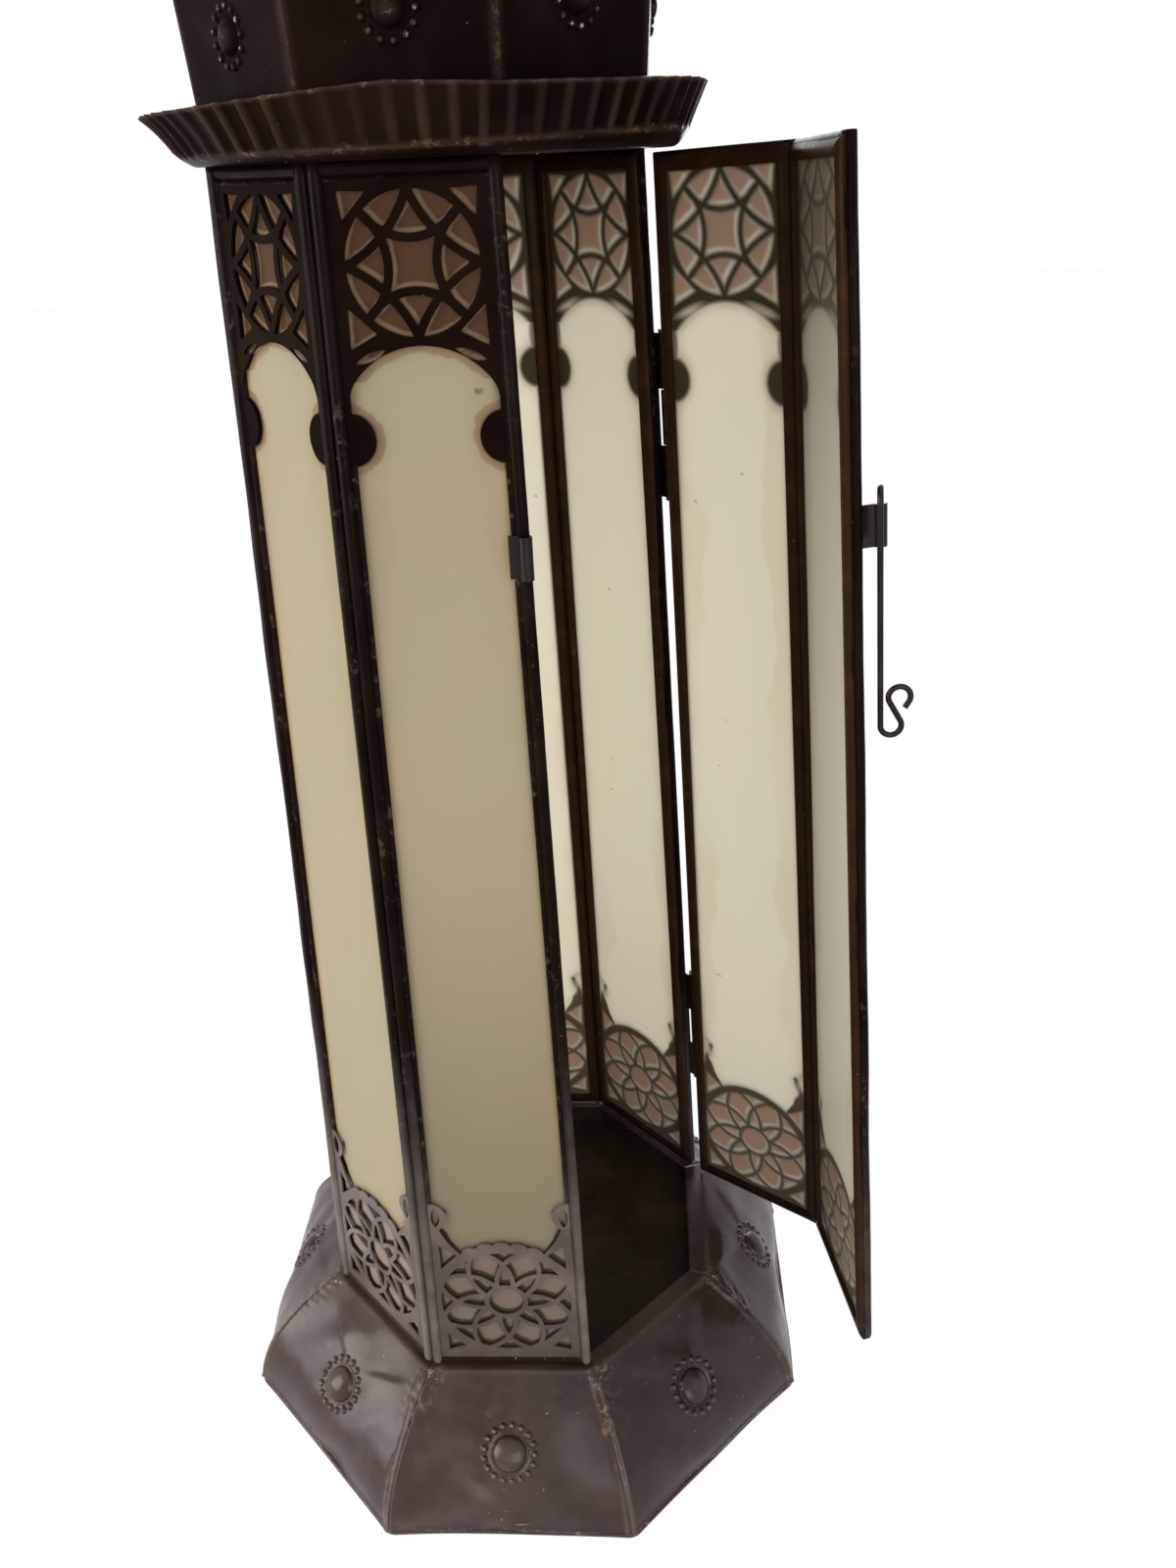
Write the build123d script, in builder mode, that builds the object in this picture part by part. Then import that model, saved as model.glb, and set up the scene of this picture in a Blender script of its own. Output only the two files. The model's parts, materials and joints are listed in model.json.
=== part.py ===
from build123d import *
import os
from math import atan2, cos, hypot, radians, sin, tan

# Pillar lantern in painted tin and milk glass: an eight-sided bell base, a leaning column of eight
# framed panes, a bent two-panel door, a fluted tray and a crown. Millimetres, +Z up. The origin is at
# the centre of the base's foot, and the front face looks along -Y.

# Base
base_flats = 278.0          # across flats at the hem
base_height = 58.4
base_sheet = 1.2
base_ledge = 2.0            # rim left round the column's foot
base_flange = 8.0           # shelf turned in under the column
base_bend_height = 32.5     # where the shoulder turns down to the hem
base_bend_reach = 30.3      # how far that line stands out from the ledge
base_shoulder = 1.8         # bulge of the shoulder
hem_height = 2.6            # strip under the skirt's hem
hem_width = 3.2
hem_lip = 0.8               # how far the strip stands proud of the skirt
hem_round = 0.7
hem_corner = 8.0
pan_depth = 14.0
pan_lap = 5.0               # pan's rim under the shelf
pan_sheet = 1.0

# Column
side_count = 8
column_flats = 187.4        # across flats at the foot
neck_flats = 149.6          # across flats at the top
column_height = 512.0
seam_gap = 0.9              # dark line between neighbouring stiles
seat_gap = 0.3
stile_width = 7.5
rail_height = 7.0
frame_depth = 6.5
frame_lip = 1.2             # channel wall in front of the fret
frame_round = 2.2
tuck_depth = 1.6            # how far pane and fret reach into the channel
channel_play = 0.3
glass_sheet = 2.4
fret_sheet = 0.8
face_play = 0.05            # play between fret, glass and channel walls

# Top fret: a ring with eight crossing bars over a horseshoe arch
fret_bar = 2.6
top_side_band = 2.2
top_edge_band = 1.0
arch_band = 2.6
arch_rise = 10.5
arch_ledge = 2.2
notch_height = 10.0
lobe_reach = 7.4
lobe_height = 17.0

# Foot fret: a ring with an eight-petalled flower under a scalloped crest
foot_bar = 2.2
foot_side_band = 1.2
foot_edge_band = 4.0
petal_count = 8
flower_heart = 9.0          # radius of the band round the heart
petal_reach = 22.5          # radius of the petals' tips
petal_spread = 18.0         # angle from a tip to where its two bars meet the ring, in degrees
crest_band = 4.6
crest_half_angle = 33.0
scallop_count = 5
scallop_rise = 1.8
arm_rise = 15.0
ear_height = 15.0
ear_reach = 6.4
ear_wall = 2.4

# Door, hinges and latch
door_opening = 54.4         # how far the door stands open, in degrees
door_foot_gap = 1.2
door_head_gap = 1.2
hinge_length = 66.0
hinge_inset = 98.0          # from each end of the column to the middle of a hinge
hinge_heights = {"lower": hinge_inset, "upper": column_height - hinge_inset}
knuckle_radius = 2.4
pin_radius = 1.2
pin_play = 0.05
pin_head = 1.4
knuckle_gap = 0.4
leaf_width = 7.5
leaf_sheet = 0.8
latch_drop = 122.0          # from the column's top to the middle of the latch
latch_height = column_height - latch_drop
barrel_length = 15.0
barrel_radius = 2.4
barrel_bore = 1.5
barrel_stand = 6.5          # barrel's axis off the door's face
barrel_inset = 3.0          # and from the door's corner
barrel_neck = 1.6
keeper_inset = 2.5
keeper_tab = 6.0
wire_radius = 1.1
wire_play = 0.4
hook_rest = 206.0           # bearing of the short leg with the door shut, in degrees
hook_short_leg = 14.0
hook_drop = 68.0            # from the barrel to the finger curl
curl_bearing = -door_opening
curl_radius = 3.8
curl_rise = 8.5
curl_loop_radius = 4.0
curl_tail = 2.5

# Tray
tray_floor_radius = 82.0    # flat part of the floor
tray_foot_radius = 88.0     # where the flutes start, above the rounded foot
tray_turn = 5.0             # height of that foot
tray_rim_radius = 94.0
tray_depth = 19.5
tray_sheet = 1.2
flute_count = 64
flute_depth = 1.6
vent_radius = 48.0

# Crown
crown_foot_flats = 146.0
crown_flats = 154.0
crown_wall = 70.0
crown_turn_in = 8.0
crown_turn_height = 7.0
crown_sheet = 1.0

# Worked out from the sizes above
face_names = ["front", "front_right", "right", "back_right", "back", "back_left", "left", "front_left"]
door_faces = (1, 2)
face_turn = 360 / side_count
half_turn = face_turn / 2
foot_apothem = column_flats / 2
column_top = base_height + column_height
lean = atan2(foot_apothem - neck_flats / 2, column_height)
slope_length = hypot(foot_apothem - neck_flats / 2, column_height)
window_low = rail_height
window_high = slope_length - rail_height
channel_depth = fret_sheet + glass_sheet + 3 * face_play
glass_front = frame_lip + face_play + fret_sheet + face_play
face_plane = Plane(origin=(0, -foot_apothem, base_height), x_dir=(1, 0, 0), z_dir=(0, -cos(lean), sin(lean)))


def bearing(angle, length=1.0):
    """A level vector at an angle from +X, in degrees."""
    return Vector(length * cos(radians(angle)), length * sin(radians(angle)), 0)


def mitre(side, gap=0.0):
    """Upright plane between the front face and its neighbour, set back by half a gap."""
    inward = bearing(-90 - side * (90 - half_turn))
    return Plane(origin=inward * (gap / 2), z_dir=inward)


def half_width(height):
    """Half the width of a column face, measured up the slope."""
    return tan(radians(half_turn)) * (foot_apothem - height * sin(lean))


def clear_half(height):
    return half_width(height) - stile_width


def panel_points(low, high, inset):
    """Corners of a leaning panel between two heights, inset from the face's edges."""
    low_half = half_width(low) - inset
    high_half = half_width(high) - inset
    return [(-low_half, low), (low_half, low), (high_half, high), (-high_half, high)]


def face_of(part, index):
    """A piece of the front face, turned to another face of the column."""
    return part.rotate(Axis.Z, index * face_turn)


# The door's hinge line runs up the corner between the right face and the one behind it
hinge_bearing = 2 * face_turn - 90 + half_turn
corner_ratio = 1 / cos(radians(half_turn))
corner_foot = bearing(hinge_bearing, foot_apothem * corner_ratio) + Vector(0, 0, base_height)
corner_head = bearing(hinge_bearing, neck_flats / 2 * corner_ratio) + Vector(0, 0, column_top)
corner_line = (corner_head - corner_foot).normalized()
corner_out = bearing(hinge_bearing)
hinge_out = (corner_out - corner_line * corner_out.dot(corner_line)).normalized()
hinge_offset = knuckle_radius * corner_ratio
hinge_foot = corner_foot + hinge_out * hinge_offset
hinge_axis = Axis(hinge_foot, corner_line)


def opened(part):
    """A piece of the door, swung from shut to where the door stands."""
    return part.rotate(hinge_axis, door_opening)


def placed(part, index):
    """A panel piece on its face, and swung open where that face is part of the door."""
    turned = face_of(part, index)
    return opened(turned) if index in door_faces else turned


os.makedirs("parts", exist_ok=True)


def save(part, name):
    part.label = name
    export_step(part, f"parts/{name}.step")


def sheet_panel(profile, reach, gap=0.0):
    """A folded sheet profile on the YZ plane, run along the front face and mitred at both hips."""
    with BuildPart() as panel:
        with BuildSketch(Plane.YZ):
            add(profile)
        extrude(amount=reach, both=True)
        for side in (-1, 1):
            split(bisect_by=mitre(side, gap), keep=Keep.TOP)
    return panel.part


# Base skirt: shelf and convex shoulder, turning down to stand on the hem strip
ledge_edge = -(foot_apothem + base_ledge)
with BuildSketch() as skirt_profile:
    with BuildLine():
        shelf = Line((-(foot_apothem - base_flange), base_height), (ledge_edge, base_height))
        bend = Vector(ledge_edge - base_bend_reach, base_bend_height)
        across = (bend - shelf @ 1).normalized()
        crest = (shelf @ 1 + bend) / 2 + Vector(across.Y, -across.X) * base_shoulder
        shoulder = ThreePointArc(shelf @ 1, crest, bend)
        TangentArc(bend, (hem_lip - base_flats / 2, hem_height), tangent=shoulder % 1)
        offset(amount=base_sheet, side=Side.LEFT)
    make_face()
with BuildPart() as base_master:
    add(sheet_panel(skirt_profile.sketch, base_flats / 2))
    split(bisect_by=Plane.XY.offset(hem_height + face_play), keep=Keep.TOP)
for index, face_name in enumerate(face_names):
    with BuildPart() as base_panel:
        add(face_of(base_master.part, index))
    save(base_panel.part, f"{face_name}_base_panel")

# Hem strip: one ring that ties the eight panels together and stands on the ground
with BuildPart() as base_hem_ring:
    with BuildSketch():
        RegularPolygon(base_flats / 2, side_count, major_radius=False, rotation=half_turn)
        fillet(vertices(), hem_corner)
        offset(amount=-hem_width, kind=Kind.INTERSECTION, mode=Mode.SUBTRACT)
    extrude(amount=hem_height)
    fillet(base_hem_ring.edges().group_by(Axis.Z)[-1], hem_round)
save(base_hem_ring.part, "base_hem_ring")

# Floor pan, hung under the shelf
pan_apothem = foot_apothem - base_flange + pan_lap
pan_top = base_height - base_sheet - face_play
with BuildPart() as floor_pan:
    with BuildSketch(Plane.XY.offset(pan_top - pan_depth)):
        RegularPolygon(pan_apothem, side_count, major_radius=False, rotation=half_turn)
    extrude(amount=pan_depth)
    with BuildSketch(Plane.XY.offset(pan_top - pan_depth + pan_sheet)):
        RegularPolygon(pan_apothem - pan_sheet, side_count, major_radius=False, rotation=half_turn)
    extrude(amount=pan_depth, mode=Mode.SUBTRACT)
save(floor_pan.part, "floor_pan")


def panel_frame(low, high):
    """Folded tin channel round a pane, mitred to its neighbours, with one groove for glass and frets."""
    with BuildPart() as frame:
        with BuildSketch(face_plane):
            Polygon(*panel_points(low, high, -frame_depth), align=None)
        extrude(amount=-frame_depth)
        for side in (-1, 1):
            split(bisect_by=mitre(side, seam_gap), keep=Keep.TOP)
        front = frame.faces().sort_by(Axis(face_plane.origin, face_plane.z_dir))[-1]
        fillet(front.edges().filter_by(lambda edge: edge.length > column_height / 2), frame_round)
        with BuildSketch(face_plane):
            Polygon(*panel_points(window_low, window_high, stile_width), align=None)
        extrude(amount=-frame_depth, mode=Mode.SUBTRACT)
        reach = tuck_depth + channel_play
        with BuildSketch(face_plane.offset(-frame_lip)):
            Polygon(*panel_points(window_low - reach, window_high + reach, stile_width - reach), align=None)
        extrude(amount=-channel_depth, mode=Mode.SUBTRACT)
    return frame.part


fixed_frame = panel_frame(seat_gap, slope_length - face_play)
door_frame = panel_frame(door_foot_gap, slope_length - door_head_gap)
for index, face_name in enumerate(face_names):
    with BuildPart() as frame_piece:
        add(placed(door_frame if index in door_faces else fixed_frame, index))
    save(frame_piece.part, f"{face_name}_frame")

# Milk glass pane in the channel, behind the frets
with BuildPart() as pane_master:
    with BuildSketch(face_plane.offset(-glass_front)):
        Polygon(*panel_points(window_low - tuck_depth, window_high + tuck_depth, stile_width - tuck_depth),
                align=None)
    extrude(amount=-glass_sheet)
for index, face_name in enumerate(face_names):
    with BuildPart() as pane:
        add(placed(pane_master.part, index))
    save(pane.part, f"{face_name}_pane")


def crossing_bar(direction, near, tip, half_angle, width):
    """Circular bar that passes near the centre and through two points at a tip distance."""
    spread = cos(radians(half_angle))
    radius = (tip ** 2 + near ** 2 - 2 * tip * near * spread) / (2 * (tip * spread - near))
    with BuildSketch() as bar:
        with Locations(bearing(direction, near + radius)):
            Circle(radius + width / 2)
            Circle(radius - width / 2, mode=Mode.SUBTRACT)
    return bar.sketch


def rosette_holes(radius, bars):
    """A round opening crossed by bars."""
    with BuildSketch() as holes:
        Circle(radius)
        for bar in bars:
            add(bar, mode=Mode.SUBTRACT)
    return holes.sketch


def lens(start, end, thickness):
    """A slot between two equal arcs."""
    start, end = Vector(start), Vector(end)
    along = (end - start).normalized()
    bulge = Vector(-along.Y, along.X) * (thickness / 2)
    with BuildSketch() as slot:
        with BuildLine():
            ThreePointArc(start, (start + end) / 2 + bulge, end)
            ThreePointArc(end, (start + end) / 2 - bulge, start)
        make_face()
    return slot.sketch


def tucked(height, side):
    """A point on a fret's edge, inside the channel."""
    return (side * (clear_half(height) + tuck_depth), height)


def fret_plate(sketch):
    """A fret sketch cut in sheet, standing in the channel in front of the pane."""
    with BuildPart() as plate:
        with BuildSketch(face_plane.offset(-frame_lip - face_play)):
            add(sketch)
        extrude(amount=-fret_sheet)
    return plate.part


# Top fret
top_ring = clear_half(window_high) - top_side_band
top_centre = window_high - top_edge_band - top_ring
arch_crown = top_centre - top_ring - arch_band
shoulder_height = arch_crown - arch_rise
lobe_head = shoulder_height - notch_height
lobe_foot = lobe_head - lobe_height
square_bars = [crossing_bar(90 * turn, 0.36 * top_ring, top_ring, 45, fret_bar) for turn in range(4)]
diagonal_bars = [crossing_bar(90 * turn + 45, 0.57 * top_ring, top_ring, 45, fret_bar) for turn in range(4)]
top_rosette = rosette_holes(top_ring, square_bars + diagonal_bars)
top_slots = [lens((side * top_ring, -1.36 * top_ring), (side * 0.52 * top_ring, -1.17 * top_ring), fret_bar)
             for side in (-1, 1)]
with BuildSketch() as top_fret_sketch:
    with BuildLine():
        head = window_high + tuck_depth
        Polyline(tucked(lobe_foot, -1), tucked(head, -1), tucked(head, 1), tucked(lobe_foot, 1))
        for side in (-1, 1):
            foot_point = Vector(side * clear_half(lobe_foot), lobe_foot)
            head_point = Vector(side * clear_half(lobe_head), lobe_head)
            lobe_tip = (foot_point + head_point) / 2 - Vector(side * lobe_reach, 0)
            ledge_point = Vector(side * (clear_half(shoulder_height) - arch_ledge), shoulder_height)
            notch_middle = (lobe_head + shoulder_height) / 2
            Line(tucked(lobe_foot, side), foot_point)
            ThreePointArc(foot_point, lobe_tip, head_point)
            ThreePointArc(head_point, (side * clear_half(notch_middle), notch_middle), ledge_point)
        arch_end = clear_half(shoulder_height) - arch_ledge
        ThreePointArc((-arch_end, shoulder_height), (0, arch_crown), (arch_end, shoulder_height))
    make_face()
    add(top_rosette.moved(Location((0, top_centre, 0))), mode=Mode.SUBTRACT)
    for slot in top_slots:
        add(slot.moved(Location((0, top_centre, 0))), mode=Mode.SUBTRACT)
    with Locations((0, top_centre)):
        for side in (-1, 1):
            upper = [(1.02, 1.0), (0.6, 0.98), (0.98, 0.6)]
            lower = [(1.03, -0.56), (0.62, -0.94), (1.05, -1.16)]
            for corner in (upper, lower):
                Polygon(*[(side * x * top_ring, y * top_ring) for x, y in corner], align=None,
                        mode=Mode.SUBTRACT)
top_fret_master = fret_plate(top_fret_sketch.sketch)
for index, face_name in enumerate(face_names):
    with BuildPart() as top_fret:
        add(placed(top_fret_master, index))
    save(top_fret.part, f"{face_name}_top_fret")

# Foot fret
foot_ring = clear_half(window_low) - foot_side_band
foot_centre = window_low + foot_edge_band + foot_ring
crest_radius = foot_ring + crest_band
petal_turn = 360 / petal_count


def petal_bar(tip_angle, side):
    """One side of a petal: from the heart, out past the petal's tip and on to the ring."""
    with BuildSketch() as bar:
        with BuildLine():
            ThreePointArc(bearing(tip_angle - side * petal_turn / 2, flower_heart),
                          bearing(tip_angle, petal_reach),
                          bearing(tip_angle + side * petal_spread, foot_ring + foot_bar / 2))
        trace(line_width=foot_bar)
    return bar.sketch


with BuildSketch() as heart_band:
    Circle(flower_heart + foot_bar / 2)
    Circle(flower_heart - foot_bar / 2, mode=Mode.SUBTRACT)
petal_bars = [petal_bar(turn * petal_turn, side) for turn in range(petal_count) for side in (-1, 1)]
foot_rosette = rosette_holes(foot_ring, petal_bars + [heart_band.sketch])


def crest_point(angle, radius):
    """A point of the crest, at an angle from upright."""
    return Vector(0, foot_centre) + bearing(90 - angle, radius)


crest_end = crest_point(crest_half_angle, crest_radius)
ear_foot = crest_end.Y + arm_rise
ear_head = ear_foot + ear_height
ear_slots = [lens((side * (clear_half(ear_foot) - ear_wall / 2), ear_foot + ear_wall / 2),
                  (side * (clear_half(ear_head) - ear_wall / 2), ear_head - ear_wall), ear_reach - ear_wall)
             for side in (-1, 1)]
with BuildSketch() as foot_fret_sketch:
    with BuildLine():
        foot = window_low - tuck_depth
        Polyline(tucked(ear_head, -1), tucked(foot, -1), tucked(foot, 1), tucked(ear_head, 1))
        for side in (-1, 1):
            ear_top = Vector(side * clear_half(ear_head), ear_head)
            ear_root = Vector(side * (clear_half(ear_foot) - ear_wall), ear_foot)
            ear_tip = Vector(side * (clear_half(ear_foot) - ear_reach), (ear_foot + ear_head) / 2)
            arm_end = Vector(side * crest_end.X, crest_end.Y)
            arm_dip = (ear_root + arm_end) / 2 - Vector(0, arm_rise / 8)
            Line(tucked(ear_head, side), ear_top)
            ThreePointArc(ear_top, ear_tip, ear_root)
            ThreePointArc(ear_root, arm_dip, arm_end)
        scallop_step = 2 * crest_half_angle / scallop_count
        for number in range(scallop_count):
            start = number * scallop_step - crest_half_angle
            ThreePointArc(crest_point(start, crest_radius),
                          crest_point(start + scallop_step / 2, crest_radius + scallop_rise),
                          crest_point(start + scallop_step, crest_radius))
    make_face()
    add(foot_rosette.moved(Location((0, foot_centre, 0))), mode=Mode.SUBTRACT)
    for slot in ear_slots:
        add(slot, mode=Mode.SUBTRACT)
    with Locations((0, foot_centre)):
        for side in (-1, 1):
            upper = [(0.95, 1.14), (0.68, 0.95), (0.95, 0.68)]
            lower = [(0.96, -0.68), (0.68, -0.94), (0.96, -1.02)]
            for corner in (upper, lower):
                Polygon(*[(side * x * foot_ring, y * foot_ring) for x, y in corner], align=None,
                        mode=Mode.SUBTRACT)
foot_fret_master = fret_plate(foot_fret_sketch.sketch)
for index, face_name in enumerate(face_names):
    with BuildPart() as foot_fret:
        add(placed(foot_fret_master, index))
    save(foot_fret.part, f"{face_name}_foot_fret")


def hinge_plane(index):
    """Plane of a face beside the hinge corner: X along the face, Y up the corner, Z outward."""
    outward = Vector(bearing(index * face_turn - 90).X * cos(lean),
                     bearing(index * face_turn - 90).Y * cos(lean), sin(lean))
    return Plane(origin=corner_foot, x_dir=corner_line.cross(outward), z_dir=outward)


def knuckle(low, high):
    """A rolled knuckle on the hinge line between two heights."""
    with BuildPart() as roll:
        with BuildSketch(Plane(origin=hinge_foot + corner_line * low, z_dir=corner_line)):
            Circle(knuckle_radius)
        extrude(amount=high - low)
    return roll.part


def hinge_leaf(index, middle, knuckles):
    """A hinge leaf on a face: a plate clear of the other leaf's knuckles, with its own rolled on."""
    over_face = 1 if index == door_faces[-1] + 1 else -1
    root = -over_face * hinge_offset * sin(radians(half_turn))
    clear_root = root + over_face * (knuckle_radius + knuckle_gap)
    plate_edge = over_face * leaf_width
    low = middle - hinge_length / 2
    rolls = [knuckle(start, end) for start, end in knuckles]
    with BuildPart() as leaf:
        with BuildSketch(hinge_plane(index)):
            Polygon((clear_root, low), (plate_edge, low), (plate_edge, low + hinge_length),
                    (clear_root, low + hinge_length), align=None)
            for start, end in knuckles:
                Polygon((root, start), (clear_root, start), (clear_root, end), (root, end), align=None)
        extrude(amount=leaf_sheet)
        for roll in rolls:
            add(roll)
        with BuildSketch(Plane(origin=hinge_foot + corner_line * low, z_dir=corner_line)):
            Circle(pin_radius + pin_play)
        extrude(amount=hinge_length, mode=Mode.SUBTRACT)
    return leaf.part


# Hinges: two knuckles on the fixed leaf, one between them on the door's leaf, and a headed pin
for level, middle in hinge_heights.items():
    low = middle - hinge_length / 2
    third = hinge_length / 3
    end_knuckles = [(low, low + third - knuckle_gap), (low + 2 * third + knuckle_gap, low + hinge_length)]
    middle_knuckle = [(low + third, low + 2 * third)]
    fixed_leaf_solid = hinge_leaf(door_faces[-1] + 1, middle, end_knuckles)
    door_leaf_solid = hinge_leaf(door_faces[-1], middle, middle_knuckle)
    with BuildPart() as fixed_leaf:
        add(fixed_leaf_solid)
    save(fixed_leaf.part, f"{level}_hinge_fixed_leaf")
    with BuildPart() as door_leaf:
        add(opened(door_leaf_solid))
    save(door_leaf.part, f"{level}_hinge_door_leaf")
    with BuildPart() as hinge_pin:
        with BuildSketch(Plane(origin=hinge_foot + corner_line * low, z_dir=corner_line)):
            Circle(pin_radius)
        extrude(amount=hinge_length)
        for end, push in ((low, -pin_head), (low + hinge_length, pin_head)):
            with BuildSketch(Plane(origin=hinge_foot + corner_line * end, z_dir=corner_line)):
                Circle(knuckle_radius)
            extrude(amount=push)
    save(hinge_pin.part, f"{level}_hinge_pin")

# Keeper: a rolled tab on the front panel's stile, beside the door's corner
keeper_x = half_width(latch_height) - keeper_inset
latch_low = latch_height - barrel_length / 2
with BuildPart() as latch_keeper:
    with BuildSketch(face_plane):
        Polygon((keeper_x - keeper_tab, latch_low), (keeper_x, latch_low),
                (keeper_x, latch_low + barrel_length), (keeper_x - keeper_tab, latch_low + barrel_length),
                align=None)
    extrude(amount=leaf_sheet)
    keeper_plane = Plane(origin=face_plane.from_local_coords((keeper_x, latch_low, barrel_radius)),
                         x_dir=(1, 0, 0), z_dir=face_plane.y_dir)
    with BuildSketch(keeper_plane):
        Circle(barrel_radius)
    extrude(amount=barrel_length)
    with BuildSketch(keeper_plane):
        Circle(barrel_bore)
    extrude(amount=barrel_length, mode=Mode.SUBTRACT)
save(latch_keeper.part, "latch_keeper")

# Barrel on the door's free edge, drawn on the front face and turned to the door's first panel
barrel_x = barrel_inset - half_width(latch_height)
barrel_plane = Plane(origin=face_plane.from_local_coords((barrel_x, latch_low, barrel_stand)),
                     x_dir=(1, 0, 0), z_dir=face_plane.y_dir)
with BuildPart() as barrel_master:
    with BuildSketch(face_plane):
        Polygon((barrel_x - barrel_neck / 2, latch_low), (barrel_x + keeper_tab, latch_low),
                (barrel_x + keeper_tab, latch_low + barrel_length),
                (barrel_x - barrel_neck / 2, latch_low + barrel_length), align=None)
    extrude(amount=leaf_sheet)
    with BuildSketch(face_plane):
        Polygon((barrel_x - barrel_neck / 2, latch_low), (barrel_x + barrel_neck / 2, latch_low),
                (barrel_x + barrel_neck / 2, latch_low + barrel_length),
                (barrel_x - barrel_neck / 2, latch_low + barrel_length), align=None)
    extrude(amount=barrel_stand)
    with BuildSketch(barrel_plane):
        Circle(barrel_radius)
    extrude(amount=barrel_length)
    with BuildSketch(barrel_plane):
        Circle(wire_radius + pin_play)
    extrude(amount=barrel_length, mode=Mode.SUBTRACT)
with BuildPart() as latch_barrel:
    add(placed(barrel_master.part, door_faces[0]))
save(latch_barrel.part, "latch_barrel")

# Hook: a short leg, a bend over the barrel, a long leg through it and a finger curl like an open eight.
# Its reach is the distance from the barrel's axis to the keeper's with the door shut.
barrel_point = face_of(Vertex(*barrel_plane.origin), door_faces[0]).center()
keeper_point = keeper_plane.origin
bend_radius = (barrel_point - keeper_point).length / 2
bend_height = barrel_length + wire_play + wire_radius
short_way = bearing(hook_rest - door_faces[0] * face_turn)
leg_line = face_plane.y_dir
short_side = (short_way - leg_line * short_way.dot(leg_line)).normalized()
curl_way = bearing(curl_bearing - door_faces[0] * face_turn)
curl_side = (curl_way - leg_line * curl_way.dot(leg_line)).normalized()
bend_start = barrel_plane.origin + leg_line * bend_height
short_top = bend_start + short_side * (2 * bend_radius)
long_end = barrel_plane.origin - leg_line * hook_drop
curl_plane = Plane(origin=long_end, x_dir=curl_side, z_dir=curl_side.cross(leg_line))
with BuildPart() as hook_master:
    with BuildLine() as hook_path:
        Line(short_top - leg_line * hook_short_leg, short_top)
        ThreePointArc(short_top, bend_start + (short_side + leg_line) * bend_radius, bend_start)
        Line(bend_start, long_end)
        with BuildLine(curl_plane):
            curl = JernArc((0, 0), (0, -1), curl_radius, 207)
            rise = PolarLine(curl @ 1, curl_rise, direction=curl % 1)
            loop = JernArc(rise @ 1, rise % 1, curl_loop_radius, -240)
            PolarLine(loop @ 1, curl_tail, direction=loop % 1)
    with BuildSketch(Plane(origin=hook_path.line @ 0, z_dir=hook_path.line % 0)):
        Circle(wire_radius)
    sweep()
with BuildPart() as latch_hook:
    add(placed(hook_master.part, door_faces[0]))
save(latch_hook.part, "latch_hook")


def flute_points(radius):
    """Zigzag outline of the fluted wall."""
    step = 180 / flute_count
    return [bearing(step * number, radius + flute_depth * (number % 2 - 0.5)) for number in range(2 * flute_count)]


def fluted_solid(low_radius, high_radius, low, high):
    with BuildPart() as wall:
        for radius, height in ((low_radius, low), (high_radius, high)):
            with BuildSketch(Plane.XY.offset(height)):
                Polygon(*flute_points(radius), align=None)
        loft(ruled=True)
    return wall.part


# Tray: a vented floor, a rounded foot and a fluted wall
flute_low = column_top + tray_turn
tray_top = column_top + tray_depth
outer_wall = fluted_solid(tray_foot_radius, tray_rim_radius, flute_low, tray_top)
inner_wall = fluted_solid(tray_foot_radius - tray_sheet, tray_rim_radius - tray_sheet, flute_low, tray_top)
with BuildPart() as tray:
    with BuildSketch(Plane.XZ):
        with BuildLine():
            floor_line = Line((vent_radius, column_top), (tray_floor_radius, column_top))
            TangentArc(floor_line @ 1, (tray_foot_radius, flute_low), tangent=floor_line % 1)
            Line((tray_foot_radius, flute_low), (tray_foot_radius - 2 * tray_sheet, flute_low))
            upper_floor = column_top + tray_sheet
            inner_turn = (tray_floor_radius, upper_floor)
            TangentArc(inner_turn, (tray_foot_radius - 2 * tray_sheet, flute_low), tangent=(1, 0))
            Polyline(inner_turn, (vent_radius, upper_floor), (vent_radius, column_top))
        make_face()
    revolve(axis=Axis.Z)
    add(outer_wall)
    add(inner_wall, mode=Mode.SUBTRACT)
save(tray.part, "tray")

# Crown: wall leaning out a little, with a short shoulder turned in at the top
crown_foot = column_top + tray_sheet + face_play
crown_shoulder = crown_foot + crown_wall
with BuildSketch() as crown_profile:
    with BuildLine():
        wall = Line((-crown_foot_flats / 2, crown_foot), (-crown_flats / 2, crown_shoulder))
        TangentArc(wall @ 1, (crown_turn_in - crown_flats / 2, crown_shoulder + crown_turn_height),
                   tangent=wall % 1)
        offset(amount=crown_sheet, side=Side.RIGHT)
    make_face()
crown_master = sheet_panel(crown_profile.sketch, crown_flats / 2)
for index, face_name in enumerate(face_names):
    with BuildPart() as crown_panel:
        add(face_of(crown_master, index))
    save(crown_panel.part, f"{face_name}_crown_panel")
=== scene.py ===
import json
import math
from types import SimpleNamespace
import bmesh
import bpy
import numpy as np
from mathutils import Matrix, Vector


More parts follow.
